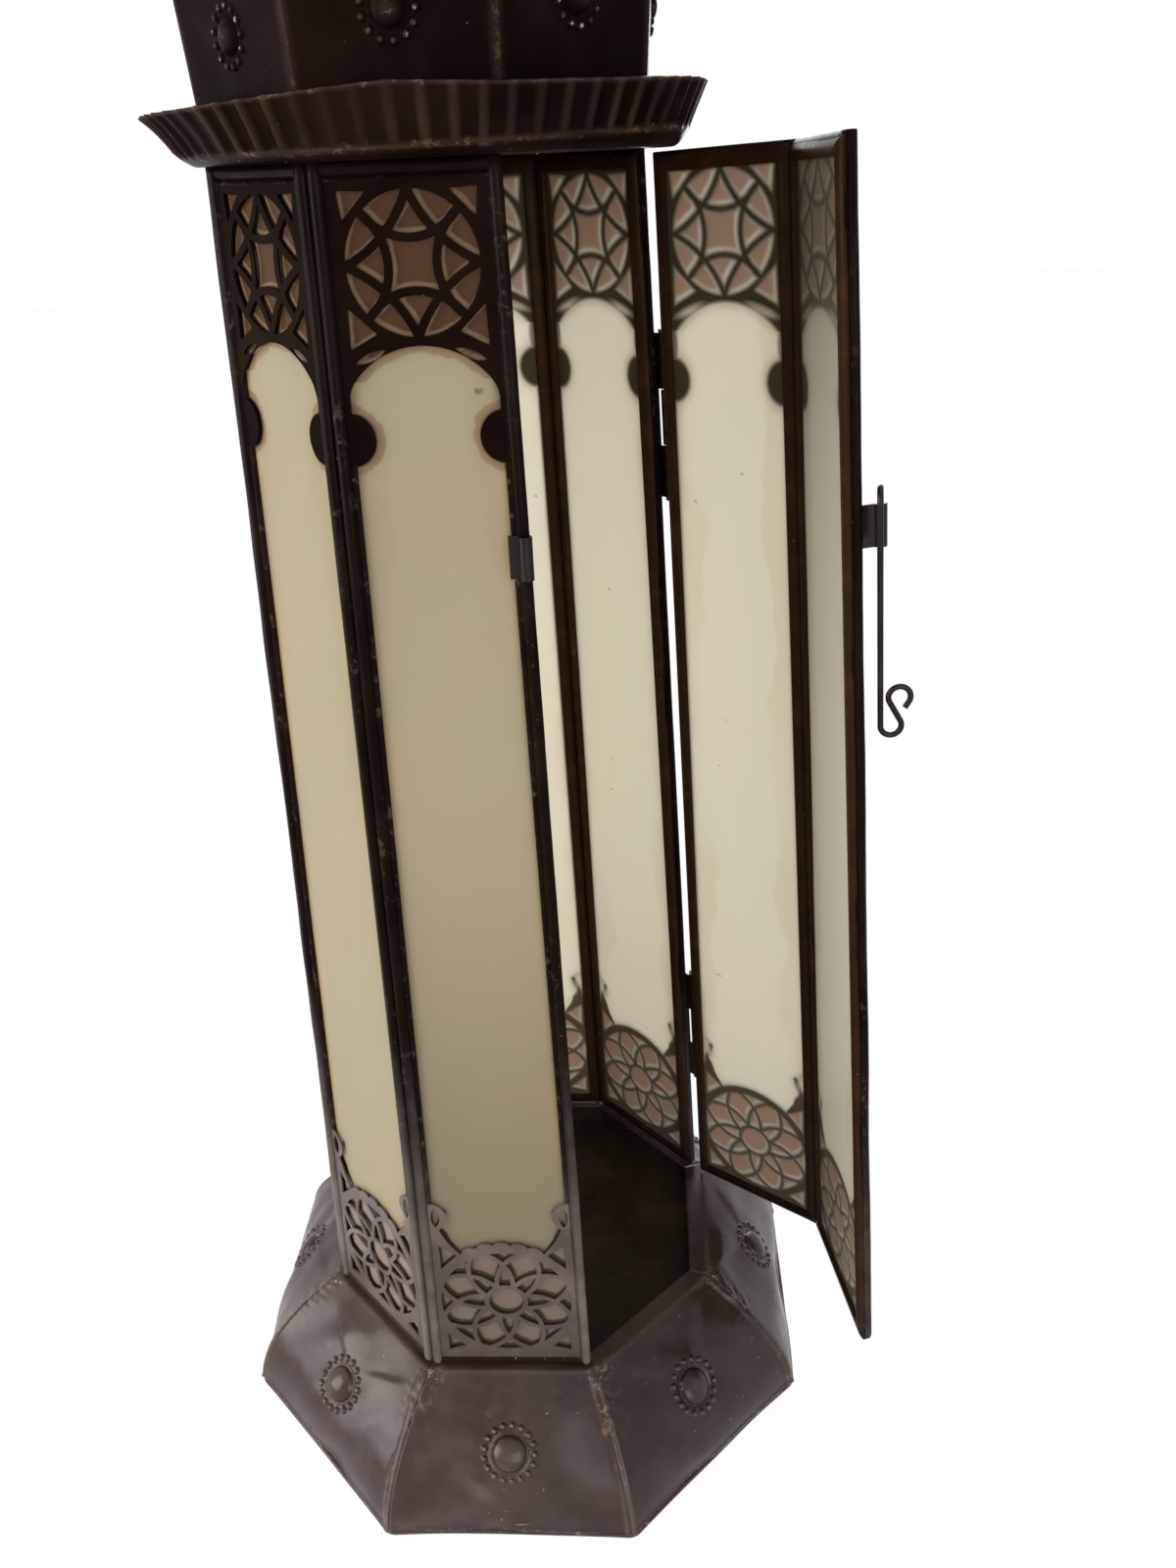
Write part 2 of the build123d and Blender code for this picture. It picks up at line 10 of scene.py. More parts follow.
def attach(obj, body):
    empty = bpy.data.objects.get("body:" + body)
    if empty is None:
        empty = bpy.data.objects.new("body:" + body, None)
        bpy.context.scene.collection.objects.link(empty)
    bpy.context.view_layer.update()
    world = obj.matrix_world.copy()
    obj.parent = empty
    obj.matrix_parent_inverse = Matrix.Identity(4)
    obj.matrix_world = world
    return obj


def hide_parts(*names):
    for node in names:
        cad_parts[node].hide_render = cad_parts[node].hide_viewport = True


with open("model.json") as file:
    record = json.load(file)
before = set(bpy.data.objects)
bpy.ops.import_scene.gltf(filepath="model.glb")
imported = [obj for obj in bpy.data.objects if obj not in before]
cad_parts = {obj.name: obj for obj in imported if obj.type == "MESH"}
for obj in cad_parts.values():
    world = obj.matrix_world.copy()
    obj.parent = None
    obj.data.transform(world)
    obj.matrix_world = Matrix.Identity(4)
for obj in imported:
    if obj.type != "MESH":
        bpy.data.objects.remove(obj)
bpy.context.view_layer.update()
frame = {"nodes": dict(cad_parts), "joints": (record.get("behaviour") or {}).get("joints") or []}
nodes = frame["nodes"]
mm = 0.001

# Sizes that the solids were made to, in millimetres, and the door's opening in degrees
lantern = {
    "baseFlats": 278, "baseHeight": 58.4, "columnFlats": 187.4, "neckFlats": 149.6, "columnHeight": 512,
    "stile": 7.5, "rail": 7, "doorOpening": 54.4,
    "hemHeight": 2.6, "hemWidth": 3.2, "hemLip": 0.8, "hemCorner": 8}
faceNames = ["front", "front_right", "right", "back_right", "back", "back_left", "left", "front_left"]
faces = range(len(faceNames))
faceTurn = 360 / len(faces)
doorFaces = (1, 2)
footApothem = lantern["columnFlats"] / 2
taper = footApothem - lantern["neckFlats"] / 2
columnTop = lantern["baseHeight"] + lantern["columnHeight"]
lean = math.atan2(taper, lantern["columnHeight"])
slopeLength = math.hypot(taper, lantern["columnHeight"])
tanHalf = math.tan(math.radians(faceTurn / 2))
doorJoint = next(joint for joint in frame["joints"] if joint["name"] == "door_swing")
hingePoint = np.array(doorJoint["pos_m"])
hingeLine = np.array(doorJoint["axis"])


# Turn points about a line: Rodrigues' formula on whole arrays
def turned(points, origin, axis, degrees):
    axis = np.asarray(axis, float) / np.linalg.norm(axis)
    angle = math.radians(degrees)
    arm = points - origin
    along = np.outer(arm @ axis, axis).reshape(arm.shape)
    return origin + arm * math.cos(angle) + np.cross(axis, arm) * math.sin(angle) + along * (1 - math.cos(angle))


# Points drawn on the front face go to face k, and swing open where that face is part of the door
def onFace(points, k, column=True):
    placed = turned(points, np.zeros(3), (0, 0, 1), faceTurn * k)
    if column and k in doorFaces:
        placed = turned(placed, hingePoint, hingeLine, lantern["doorOpening"])
    return placed


# The body that a column face moves with
def bodyOf(k):
    return "door" if k in doorFaces else "lantern"


# Face coordinates: x across, s up the slope, n outward, all in millimetres
def facePoint(x, s, n):
    x, s, n = np.broadcast_arrays(x, s, n)
    y = -footApothem + s * math.sin(lean) - n * math.cos(lean)
    z = lantern["baseHeight"] + s * math.cos(lean) + n * math.sin(lean)
    return np.stack([x, y, z], -1) * mm


# Half of a face's width at s: the apothem there times the tangent of half a face's turn
def halfWidth(s):
    return tanHalf * (footApothem - s * math.sin(lean))


# Half of the opening between the stiles at s
def clearHalf(s):
    return halfWidth(s) - lantern["stile"]


# Cut values to between 0 and 1
def share(values):
    return np.clip(values, 0, 1)


# A soft hump of a strength and a width: full where the gap is nothing, and less over the width
def hump(mark, gap):
    return mark[0] * np.exp(-(gap / mark[1]) ** 2)


# A straight rise to a strength: from where it starts, and over what length
def climb(mark, value):
    return mark[0] * share((value - mark[1]) / mark[2])


# Soft random swell along one or two coordinates: a height times a sum of sines with seeded bearings and phases, each
# 1.7 times as fine as the one before it and lower. A face's number k is added to the seed.
def swell(setting, k, a, b=0):
    height, seed, length, octaves = setting
    rng = np.random.default_rng(seed + k)
    total = 0
    for octave in range(octaves):
        bearing = rng.uniform(0, 2 * math.pi)
        phase = rng.uniform(0, 6.28)
        wave = 2 * math.pi * (1.7 ** octave) / length
        total = total + np.sin(wave * (a * math.cos(bearing) + b * math.sin(bearing)) + phase) / (1 + octave)
    return height * total


# One patch of a piece: a grid of points, rows by columns, closed round either way when asked
def patch(points, closeRows=False, closeColumns=False, flip=False, uv=None, **attributes):
    rows, columns = points.shape[:2]
    index = np.arange(rows * columns).reshape(rows, columns)
    index = np.concatenate([index, index[:1]], 0) if closeRows else index
    index = np.concatenate([index, index[:, :1]], 1) if closeColumns else index
    quads = np.stack([index[:-1, :-1], index[:-1, 1:], index[1:, 1:], index[1:, :-1]], -1).reshape(-1, 4)
    quads = quads[:, ::-1] if flip else quads
    values = {label: np.broadcast_to(value, (rows, columns)).astype(np.float32).ravel()
              for label, value in attributes.items()}
    flat = None if uv is None else np.stack(np.broadcast_arrays(*uv), -1).reshape(-1, 2)[quads.ravel()]
    return {"points": points.reshape(-1, 3), "quads": quads, "values": values, "uv": flat}


# A mesh, lamp or camera becomes an object in the scene
def addObject(name, data):
    added = bpy.data.objects.new(name, data)
    bpy.context.scene.collection.objects.link(added)
    return added


# Patches become one mesh, sharp past an angle; poles, points that fall together, are merged
def gridMesh(name, *patches, sharp=60, poles=False):
    starts = np.cumsum([0] + [len(one["points"]) for one in patches])
    quads = np.concatenate([one["quads"] + start for one, start in zip(patches, starts)])
    mesh = bpy.data.meshes.new(name)
    mesh.from_pydata(np.concatenate([one["points"] for one in patches]), [], quads)
    for label in patches[0]["values"]:
        layer = mesh.attributes.new(label, "FLOAT", "POINT")
        layer.data.foreach_set("value", np.concatenate([one["values"][label] for one in patches]))
    if patches[0]["uv"] is not None:
        flat = np.concatenate([one["uv"] for one in patches])
        mesh.uv_layers.new(name="surface").data.foreach_set("uv", flat.astype(np.float32).ravel())
    if poles:
        work = bmesh.new()
        work.from_mesh(mesh)
        bmesh.ops.remove_doubles(work, verts=work.verts, dist=1e-7)
        work.to_mesh(mesh)
        work.free()
    mesh.polygons.foreach_set("use_smooth", np.ones(len(mesh.polygons), bool))
    mesh.set_sharp_from_angle(angle=math.radians(sharp))
    return addObject(name, mesh)


# The piece that stands for a solid: its mesh, a thickness behind the drawn face with the rim closed, its first
# material and its body; the slot is not used
def makePiece(node, suffix, material, *patches, body="lantern", slot="dark_tin", sheet=None, **shape):
    piece = gridMesh(f"{node}_{suffix}", *patches, **shape)
    if sheet:
        wall = piece.modifiers.new("sheet", "SOLIDIFY")
        wall.thickness = sheet * mm
        wall.offset = -1
        wall.use_rim = True
    piece.data.materials.append(material)
    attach(piece, body)
    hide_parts(node)
    return piece


# The node tree of a material or of the world, with a short call for each kind of node
class Nodes:
    def __init__(self, owner):
        owner.use_nodes = True
        self.owner = owner
        self.tree = owner.node_tree
        self.output = next(node for node in self.tree.nodes if node.type.startswith("OUTPUT"))
        self.shader = self.output.inputs["Surface"].links[0].from_node
        self.place = None if owner.id_type == "WORLD" else self.add("TexCoord").outputs["Object"]

    # A new node: settings by name, sockets by name or by number
    def add(self, kind, sockets=None, **settings):
        node = self.tree.nodes.new("ShaderNode" + kind)
        for key, value in settings.items():
            setattr(node, key, value)
        for key, value in (sockets or {}).items():
            self.put(node.inputs[key], value)
        return node

    # A node's output is linked, and a plain number or colour is set on the socket itself
    def put(self, socket, value):
        if hasattr(value, "is_output"):
            self.tree.links.new(value, socket)
        else:
            socket.default_value = (*value, 1) if socket.type == "RGBA" else value

    # Sockets of the shader itself, with _ for a space in their names
    def set(self, **sockets):
        for key, value in sockets.items():
            self.put(self.shader.inputs[key.replace("_", " ")], value)

    def attribute(self, name):
        return self.add("Attribute", attribute_name=name).outputs["Fac"]

    def math(self, kind, a, b=0):
        return self.add("Math", {0: a, 1: b}, operation=kind).outputs[0]

    def times(self, a, b):
        return self.math("MULTIPLY", a, b)

    def most(self, a, b):
        return self.math("MAXIMUM", a, b)

    def mix(self, amount, a, b):
        return self.add("Mix", {0: amount, 6: a, 7: b}, data_type="RGBA").outputs[2]

    def noise(self, scale, detail=4, roughness=0.55, where=None):
        sockets = {"Vector": where or self.place, "Scale": scale, "Detail": detail, "Roughness": roughness}
        return self.add("TexNoise", sockets).outputs["Fac"]

    # From one strength to another, smoothly, as the value goes from low to high
    def ramp(self, value, low, high, start=0, end=1):
        sockets = {"Value": value, "From Min": low, "From Max": high, "To Min": start, "To Max": end}
        return self.add("MapRange", sockets, interpolation_type="SMOOTHSTEP").outputs["Result"]

    # A mark: noise cut to a range of its values
    def mark(self, settings, span, *ends):
        return self.ramp(self.noise(*settings), *span, *ends)

    # A distance made ragged by noise
    def ragged(self, distance, settings, strength):
        return self.math("ADD", distance, self.times(self.noise(*settings), strength))

    def bump(self, height, strength, distance):
        node = self.add("Bump", {"Height": height, "Strength": strength, "Distance": distance})
        self.put(self.shader.inputs["Normal"], node.outputs["Normal"])

    # Two shaders mixed and sent to the output
    def blend(self, amount, first, second):
        node = self.add("MixShader", {0: amount, 1: first.outputs[0], 2: second.outputs[0]})
        self.put(self.output.inputs["Surface"], node.outputs[0])

    # 1 for what the camera, gloss and glass see, 0 for the light that falls on the object
    def seen(self):
        rays = self.add("LightPath").outputs
        return self.most(rays["Is Camera Ray"], self.most(rays["Is Glossy Ray"], rays["Is Transmission Ray"]))


# Paint: the two colours that each mottle runs between, and the single colours laid over it.
# A mark is a noise (scale, detail, roughness) and the range of it that shows, then strengths other than 0 and 1.
paint = {
    "base": ((0.034, 0.016, 0.013), (0.072, 0.045, 0.037)),
    "foot": ((0.07, 0.05, 0.046), (0.138, 0.104, 0.096)),
    "low": ((0.038, 0.028, 0.025), (0.08, 0.066, 0.061)),
    # The head and tray pairs are the umber paint made far darker for the upper frames, top frets, crown and tray:
    # painted shade on the upper parts
    "head": ((0.0044, 0.0017, 0.0011), (0.0105, 0.0053, 0.0038)),
    "tray": ((0.0052, 0.0021, 0.0015), (0.012, 0.0058, 0.0042)),
    "floor": ((0.02, 0.014, 0.008), (0.044, 0.032, 0.019)),
    "smoked": ((0.05, 0.024, 0.009), (0.15, 0.082, 0.034)),
    "dark": (0.007, 0.0032, 0.0024), "browned": (0.022, 0.01, 0.0045), "chip": (0.4, 0.26, 0.17),
    "rust": (0.056, 0.021, 0.0085), "bare": (0.5, 0.47, 0.43), "rubAndSheenBase": (0.15, 0.108, 0.09),
    "rubAndSheenTray": (0.135, 0.085, 0.058), "sheenFrame": (0.23, 0.2, 0.188),
    "paintedShadeRise": (0.085, 0.22), "browning": 0.85, "sooting": 0.9, "chipping": 0.8, "speckShift": 0.03,
    "scratchPull": {"Rotation": (0.5, 0.4, 0.3), "Scale": (1, 1, 7)},
    "grain": (190, 4, 0.6), "grainRise": 0.35, "chipSink": -0.5, "bump": (0.35, 0.0006),
    "marks": {"mottle": ((26, 6, 0.62), (0.36, 0.68)), "shadow": ((7, 3), (0.42, 0.66, 0, 0.5)),
        "rub": ((55, 5, 0.65), (0.34, 0.62, 0.6, 1)), "stain": ((38, 7, 0.7), (0.6, 0.74)),
        "rust": ((75, 6, 0.7), (0.44, 0.84, 0, 0.8)), "patch": ((24, 3, 0.5), (0.5, 0.66)),
        "speck": ((330, 3, 0.6), (0.735, 0.765)), "scuff": ((210, 5, 0.75), (0.56, 0.63)),
        "scratch": ((62, 2, 0.5), (0.735, 0.765)), "bare": ((420, 4, 0.7), (0.52, 0.6)),
        "rough": ((45, 5, 0.6), (0.3, 0.7, 0.2, 0.38))}}


# Old umber paint on tin: mottled, from the low pair of colours to the high pair up the height, which is painted shade
# on the upper parts where the high pair is darker, and over that in turn rubbed places and painted highlights, browning
# and rust inside, painted shade at the frames' feet, tan chips and scratches, and bare metal and painted glints
def umberPaint(name, low, high, chipping=1, rusty=0, scratched=0, rubAndSheenColour="sheenFrame", shine=0.3):
    marks = paint["marks"]
    m = Nodes(bpy.data.materials.new(name))
    # Up the height the colour goes from the low pair to the high pair; on the frames and hardware the high pair is
    # darker, painted shade towards the top
    height = m.ramp(m.add("SeparateXYZ", {0: m.place}).outputs[2], *paint["paintedShadeRise"])
    mottle = m.mark(*marks["mottle"])
    colour = m.mix(height, m.mix(mottle, *paint[low]), m.mix(mottle, *paint[high]))
    colour = m.mix(m.mark(*marks["shadow"]), colour, paint["dark"])
    # Rubbed places are partly wear and partly painted highlight, such as the pale sides of the frame beads and the
    # rosette glints
    colour = m.mix(m.times(m.attribute("rub"), m.mark(*marks["rub"])), colour, paint[rubAndSheenColour])
    inside = m.attribute("inside")
    rust = m.most(m.times(m.mark(*marks["rust"]), inside), m.mark(*marks["stain"], 0, rusty))
    colour = m.mix(m.times(inside, paint["browning"]), colour, paint["browned"])
    colour = m.mix(rust, colour, paint["rust"])
    # Painted shade: the foot of each frame darkened next to the base
    colour = m.mix(m.times(m.attribute("soot"), paint["sooting"]), colour, paint["dark"])
    settings, span = marks["speck"]
    specks = m.mark(settings, [edge - paint["speckShift"] * chipping for edge in span])
    patches = m.mark(*marks["patch"])
    chips = m.most(m.times(specks, patches), m.times(m.mark(*marks["scuff"]), m.attribute("wear")))
    if scratched:
        pulled = m.add("Mapping", {"Vector": m.place, **paint["scratchPull"]}).outputs[0]
        settings, span = marks["scratch"]
        lines = m.mark((*settings, pulled), span, 0, scratched)
        chips = m.most(chips, m.times(lines, patches))
    colour = m.mix(m.times(chips, paint["chipping"]), colour, paint["chip"])
    # Bare metal at worn places, and painted glints, near white, on rosette tops and the hammered corners of the base
    colour = m.mix(m.times(m.mark(*marks["bare"]), m.attribute("bare")), colour, paint["bare"])
    m.set(Base_Color=colour, Roughness=m.mark(*marks["rough"]), Specular_IOR_Level=shine)
    grain = m.times(m.noise(*paint["grain"]), paint["grainRise"])
    m.bump(m.math("ADD", grain, m.times(chips, paint["chipSink"])), *paint["bump"])
    return m.owner


# Glass: the looks of a pane's two faces, what both share, painted shade up the height of single panes, marks as on the
# paint, and ragged edges as a noise and its strength
glass = {
    # In each look the two bar colours darken the pane under and behind the fret bars: painted shadows of the frets
    "outer": {"cream": (0.27, 0.22, 0.14), "green": (0.24, 0.225, 0.15),
        "topTint": (0.095, 0.036, 0.016), "footTint": (0.5, 0.375, 0.335),
        "topBar": (0.02, 0.01, 0.007), "footBar": (0.02, 0.01, 0.007),
        "stain": 0.5, "blocked": 0.95, "cover": (0.7, 1.7), "soft": (-0.5, 0.4), "smear": 0.85,
        "film": "shadeBelow", "tide": 0, "sliver": 0.9, "edging": 0},
    "inner": {"cream": (0.9, 0.86, 0.77), "green": (0.85, 0.86, 0.77),
        "topTint": (0.62, 0.37, 0.28), "footTint": (0.6, 0.35, 0.27),
        "topBar": (0.092, 0.068, 0.04), "footBar": (0.2, 0.15, 0.115),
        "stain": 0.45, "blocked": 0.15, "cover": (0.5, 2.4), "soft": (-1.1, 1.1), "smear": 0,
        "film": "shadeAbove", "tide": 0.6, "sliver": 0, "edging": 0.8},
    "glow": (0.94, 0.9, 0.8), "edge": (0.55, 0.37, 0.16), "speck": (0.1, 0.055, 0.02),
    # The last colour on the line below, a dark brown, is painted shadow beside the foot fret's bars on the outer face
    "brown": (0.26, 0.15, 0.085), "tide": (0.83, 0.75, 0.62), "sliver": (0.05, 0.029, 0.016),
    # The grey-brown below darkens single panes up their height as painted shade: the front pane's outer face towards
    # the bottom, the front-right pane's inner face towards the top
    "paintedShade": (0.125, 0.109, 0.084), "through": 0.5, "tinting": 0.92, "smearLit": 0.5,
    "shadingAt": (0.1, 0.6, 0.75, 0.95), "clean": (0, 0, 0, 0),
    "shadeBelow": {0: (0.48, 0.04, 0.06, 0.06)}, "shadeAbove": {1: (0.36, 0.42, 0.5, 0.78)},
    "spans": {"upper": (0.4, 0.6), "stain": (0.62, 1), "tide": (1.13, 1.23), "under": (-0.75, 0.75),
        "smear": (4.9, 5.7), "edging": (-0.6, 1.5)},
    "marks": {"cast": ((9, 3), (0.35, 0.7)), "stain": ((16, 5), (0.45, 0.66)),
        "tide": ((5, 2), (0.44, 0.6)), "speck": ((170, 2, 0.5), (0.735, 0.755)),
        "speckPatch": ((13, 2), (0.5, 0.6))},
    "ragged": {"tide": ((20, 3), 1.1), "cover": ((160, 4, 0.6), 1.6), "smear": ((110, 5, 0.7), 6)},
    "ripple": (14, 2), "bump": (0.05, 0.0008),
    "finish": {"Roughness": 0.3, "IOR": 1.45, "Specular_IOR_Level": 0.2, "Coat_Weight": 0.12,
        "Coat_Roughness": 0.03}}


# Milk glass: warm white with a green cast, stained edges and tide marks, and painted shade on single panes. Behind the
# frets it is tinted and smeared, and the bars' shadows are painted on both faces, with painted shadow beside the foot
# fret's bars on the outer face and painted shade along the stiles on the inner face. Half of the light is scattered
# through the sheet to its other face.
def milkGlass(face):
    look = SimpleNamespace(**glass[face])
    spans, marks, ragged = glass["spans"], glass["marks"], glass["ragged"]
    m = Nodes(bpy.data.materials.new(f"milk_glass_{face}"))
    uv = m.add("UVMap", uv_map="surface").outputs["UV"]
    split = m.add("SeparateXYZ", {0: uv}).outputs
    aside, up = m.math("ABSOLUTE", split[0]), split[1]
    upper = m.ramp(up, *spans["upper"])
    colour = m.mix(m.mark(*marks["cast"]), look.cream, look.green)
    stained = m.times(m.ramp(aside, *spans["stain"]), m.mark(*marks["stain"]))
    colour = m.mix(m.times(stained, look.stain), colour, glass["edge"])
    tide = m.ramp(m.ragged(aside, *ragged["tide"]), *spans["tide"], 0, look.tide)
    tide = m.times(tide, m.mark(*marks["tide"]))
    colour = m.mix(tide, colour, glass["tide"])
    beyond = m.attribute("beyond")
    under = m.ramp(beyond, *spans["under"], 1, 0)
    cover = m.ragged(m.attribute("shifted"), *ragged["cover"])
    covered = m.times(m.ramp(cover, *look.cover), under)
    # Painted shadow on the outer face under the foot fret: dark brown beside the bars where the tint does not cover
    sliver = m.times(under, m.ramp(up, *spans["upper"], look.sliver, 0))
    smeared = m.ramp(m.ragged(beyond, *ragged["smear"]), *spans["smear"], look.smear, 0)
    smeared = m.times(smeared, upper)
    colour = m.mix(smeared, colour, glass["brown"])
    colour = m.mix(sliver, colour, glass["sliver"])
    colour = m.mix(m.times(covered, glass["tinting"]), colour, m.mix(upper, look.footTint, look.topTint))
    # Painted shadows of the fret bars on both faces, and painted shade along the stiles on the inner face
    shade = m.most(m.ramp(m.attribute("opening"), *look.soft, 1, 0),
                   m.ramp(m.attribute("edging"), *spans["edging"], look.edging, 0))
    colour = m.mix(shade, colour, m.mix(upper, look.footBar, look.topBar))
    lit = m.mix(m.times(smeared, glass["smearLit"]), m.mix(tide, glass["glow"], glass["tide"]), glass["brown"])
    # Light scattered through the sheet is held back under the painted shadows and under the tinted paint
    hidden = m.most(sliver, m.times(covered, look.blocked))
    passed = m.mix(m.most(shade, hidden), lit, glass["inner"]["topBar"])
    # Painted shade: the front pane's outer face darkened towards the bottom and the front-right pane's inner face
    # towards the top
    film = m.attribute(look.film)
    colour, passed = (m.mix(film, tone, glass["paintedShade"]) for tone in (colour, passed))
    specks = m.times(m.mark(*marks["speck"]), m.mark(*marks["speckPatch"]))
    m.set(Base_Color=m.mix(specks, colour, glass["speck"]), **glass["finish"])
    m.bump(m.noise(*glass["ripple"]), *glass["bump"])
    m.blend(glass["through"], m.shader, m.add("BsdfTranslucent", {"Color": passed}))
    return m.owner


# The crown, tray and top frets get a far darker copy of the paint than the base and foot frets: painted shade on the
# upper parts
basePaint = umberPaint("umber_paint_on_base", "base", "base", scratched=0.8, rubAndSheenColour="rubAndSheenBase")
shadedCrownPaint = umberPaint("umber_paint_shaded_on_crown", "tray", "tray", chipping=0.6, rubAndSheenColour="rubAndSheenTray", shine=0.012)
shadedTopFretPaint = umberPaint("umber_paint_shaded_on_top_frets", "head", "head", chipping=0.5, shine=0.01)
footFretPaint = umberPaint("umber_paint_on_foot_frets", "foot", "foot", chipping=0.6, shine=0.2)
framePaint = umberPaint("umber_paint_on_frames", "low", "head", chipping=0.6, shine=0.03)
floorPaint = umberPaint("rusty_floor_tin", "floor", "floor", chipping=0.3, rusty=0.6, shine=0.1)
smokedTin = umberPaint("smoked_tray_floor", "smoked", "smoked", chipping=0.3, rusty=0.7, shine=0)
agedSteel = umberPaint("aged_hardware_steel", "low", "head", chipping=0.5, rusty=0.5, shine=0.2)
outerGlass = milkGlass("outer")
innerGlass = milkGlass("inner")
print("materials made")

# Column frames: a folded channel carried round each pane with mitred corners, and a round bead along each edge.
# The profile gives depth in from the edge and height over the face, with dirt and wear at each of its points.
frameLook = {
    "profile": ((0.9, -3.2), (4.6, -2.4), (5.3, -1.6), (5.7, -1.3), (7.1, -1.25), (7.5, -1.6), (7.5, -3.1),
        (7.4, -5.4), (6.9, -6.1), (4.6, -6.1), (3.3, -5.7), (0.9, -4.4)),
    "inside": (0, 0, 0, 0, 0, 0.2, 0.6, 1, 1, 1, 1, 1),
    "wear": (0, 0, 0.1, 0.1, 0.16, 0.16, 0, 0, 0, 0, 0, 0), "sharp": 50,
    "ends": {"door": (1.2, -1.2), "lantern": (0.3, 0.25)}, "footShade": 12, "rustyFeet": (7,),
    "mitreGap": 0.5, "mitreLap": -0.05, "doorCorners": (0, 2), "stileSteps": 90, "railSteps": 14,
    "bead": 2.45, "beadUp": 0.7, "seam": 1, "proud": 0.2, "headCap": 0.3, "beadSides": 16, "capSteps": 7,
    "railBead": 2.2, "railUp": 0.9, "railInset": 3.2, "railSink": 0.5, "railSplit": 3, "footDirt": 0.95,
    "wave": (0.14, 40, 120, 4), "waveAside": 0.6, "evenWear": 0.03, "patchyWear": (0.07, 90, 90, 4),
    "footWear": 0.5, "rub": 0.62, "rubFoot": 1.25, "rubHeight": 150, "rubTilt": 0.5}


# Frame points end at the mitre plane between two faces: clear of it beside the door, closed at the soldered corners
def framePoints(k, x, s, n):
    limit = halfWidth(s) + n * math.cos(lean) * tanHalf
    left, right = (frameLook["mitreGap" if corner in frameLook["doorCorners"] else "mitreLap"]
                   for corner in ((k - 1) % len(faces), k))
    return onFace(facePoint(np.clip(x, left - limit, limit - right), s, n), k)


# A bead: circles carried along a run, drawn in to a point at both ends over the given cap lengths
def bead(k, x, s, n, radius, travel, across, caps, rustAndShade=0):
    look = SimpleNamespace(**frameLook)
    low, high = (share(1 - gap / cap) for gap, cap in zip((travel - travel[0], travel[-1] - travel), caps))
    size = radius * np.sqrt(share(1 - np.maximum(low, high) ** 2))[:, None]
    turn = np.linspace(0, 2 * math.pi, look.beadSides, endpoint=False)[None, :]
    aside, out = size * np.cos(turn), size * np.sin(turn)
    x, s, n, low = (line[:, None] for line in (x, s, n, low))
    wave = swell(look.wave, k, s, x)
    alongX = x + (aside if across else 0) + look.waveAside * wave
    alongS = s + (0 if across else aside)
    wear = look.evenWear + swell(look.patchyWear, k, s, x) + look.footWear * low
    # Painted highlight: one side of each bead is made pale grey, strongest towards the foot
    rub = look.rub * share(look.rubFoot - s / look.rubHeight) * share(np.sin(turn + look.rubTilt)) ** 2
    # At the foot rail the bead is rusted on the face with rusty feet and darkened as painted shade on the others
    rusty = k in look.rustyFeet
    return patch(framePoints(k, alongX, alongS, n + out + wave), closeColumns=True, flip=not across, wear=share(wear),
                 inside=rustAndShade * rusty, soot=rustAndShade * (not rusty), rub=rub * (1 - rustAndShade))


# Even steps along a run, crowded over the two caps
def beadRun(low, high, caps, steps):
    ease = 1 - np.cos(np.linspace(0, math.pi / 2, frameLook["capSteps"]))
    even = np.linspace(low + caps[0], high - caps[1], steps)[1:-1]
    return np.concatenate([low + caps[0] * ease, even, (high - caps[1] * ease)[::-1]])


# The profile set at the four corners and carried straight between them, with beads on both stiles and both rails
def columnFrame(k):
    look = SimpleNamespace(**frameLook)
    body = bodyOf(k)
    depth, height = np.array(look.profile).T
    low, high = np.array((0, slopeLength)) + look.ends[body]
    railDepth = depth * lantern["rail"] / lantern["stile"]
    foot, head = low + railDepth, high - railDepth
    corners = [np.stack([side * (halfWidth(level) - depth), level], -1)
               for side, level in ((-1, foot), (1, foot), (1, head), (-1, head))]
    runs = []
    for corner, steps in enumerate((look.railSteps, look.stileSteps) * 2):
        t = np.linspace(0, 1, steps, endpoint=False)[:, None, None]
        runs.append(corners[corner] * (1 - t) + corners[(corner + 1) % 4] * t)
    path = np.concatenate(runs)
    x, s = path[..., 0], path[..., 1]
    # The foot rail is darkened towards the bottom as painted shade, and rusted instead on the face with rusty feet
    onFootRail = (np.arange(len(path)) < look.railSteps)[:, None]
    footRail = share(1 - (s - low) / look.footShade) * onFootRail
    rusty = k in look.rustyFeet
    channel = patch(framePoints(k, x, s, height), closeRows=True, closeColumns=True, wear=look.wear,
                    inside=np.maximum(look.inside, footRail * rusty), soot=footRail * (not rusty), rub=0)
    r, caps = look.bead, (look.bead, look.headCap)
    s = beadRun(low + look.beadUp, high, caps, look.stileSteps)
    beads = [bead(k, side * (halfWidth(s) - look.seam - r), s, 0 * s - r + look.proud, r, s, True, caps)
             for side in (-1, 1)]
    r, caps = look.railBead, (look.railBead, look.railBead)
    # The foot rail's bead is darkened as painted shade, and rusted on the face with rusty feet; the head rail's bead is
    # not
    for level, rustAndShade in ((low + look.railUp + r, look.footDirt), (high - r, 0)):
        reach = halfWidth(level) - look.railInset
        x = beadRun(-reach, reach, caps, look.railSplit * look.railSteps)
        beads.append(bead(k, x, 0 * x + level, 0 * x - r - look.railSink, r, x, False, caps, rustAndShade))
    makePiece(f"{faceNames[k]}_frame", "folded", framePaint, channel, *beads, body=body, sharp=look.sharp, poles=True)


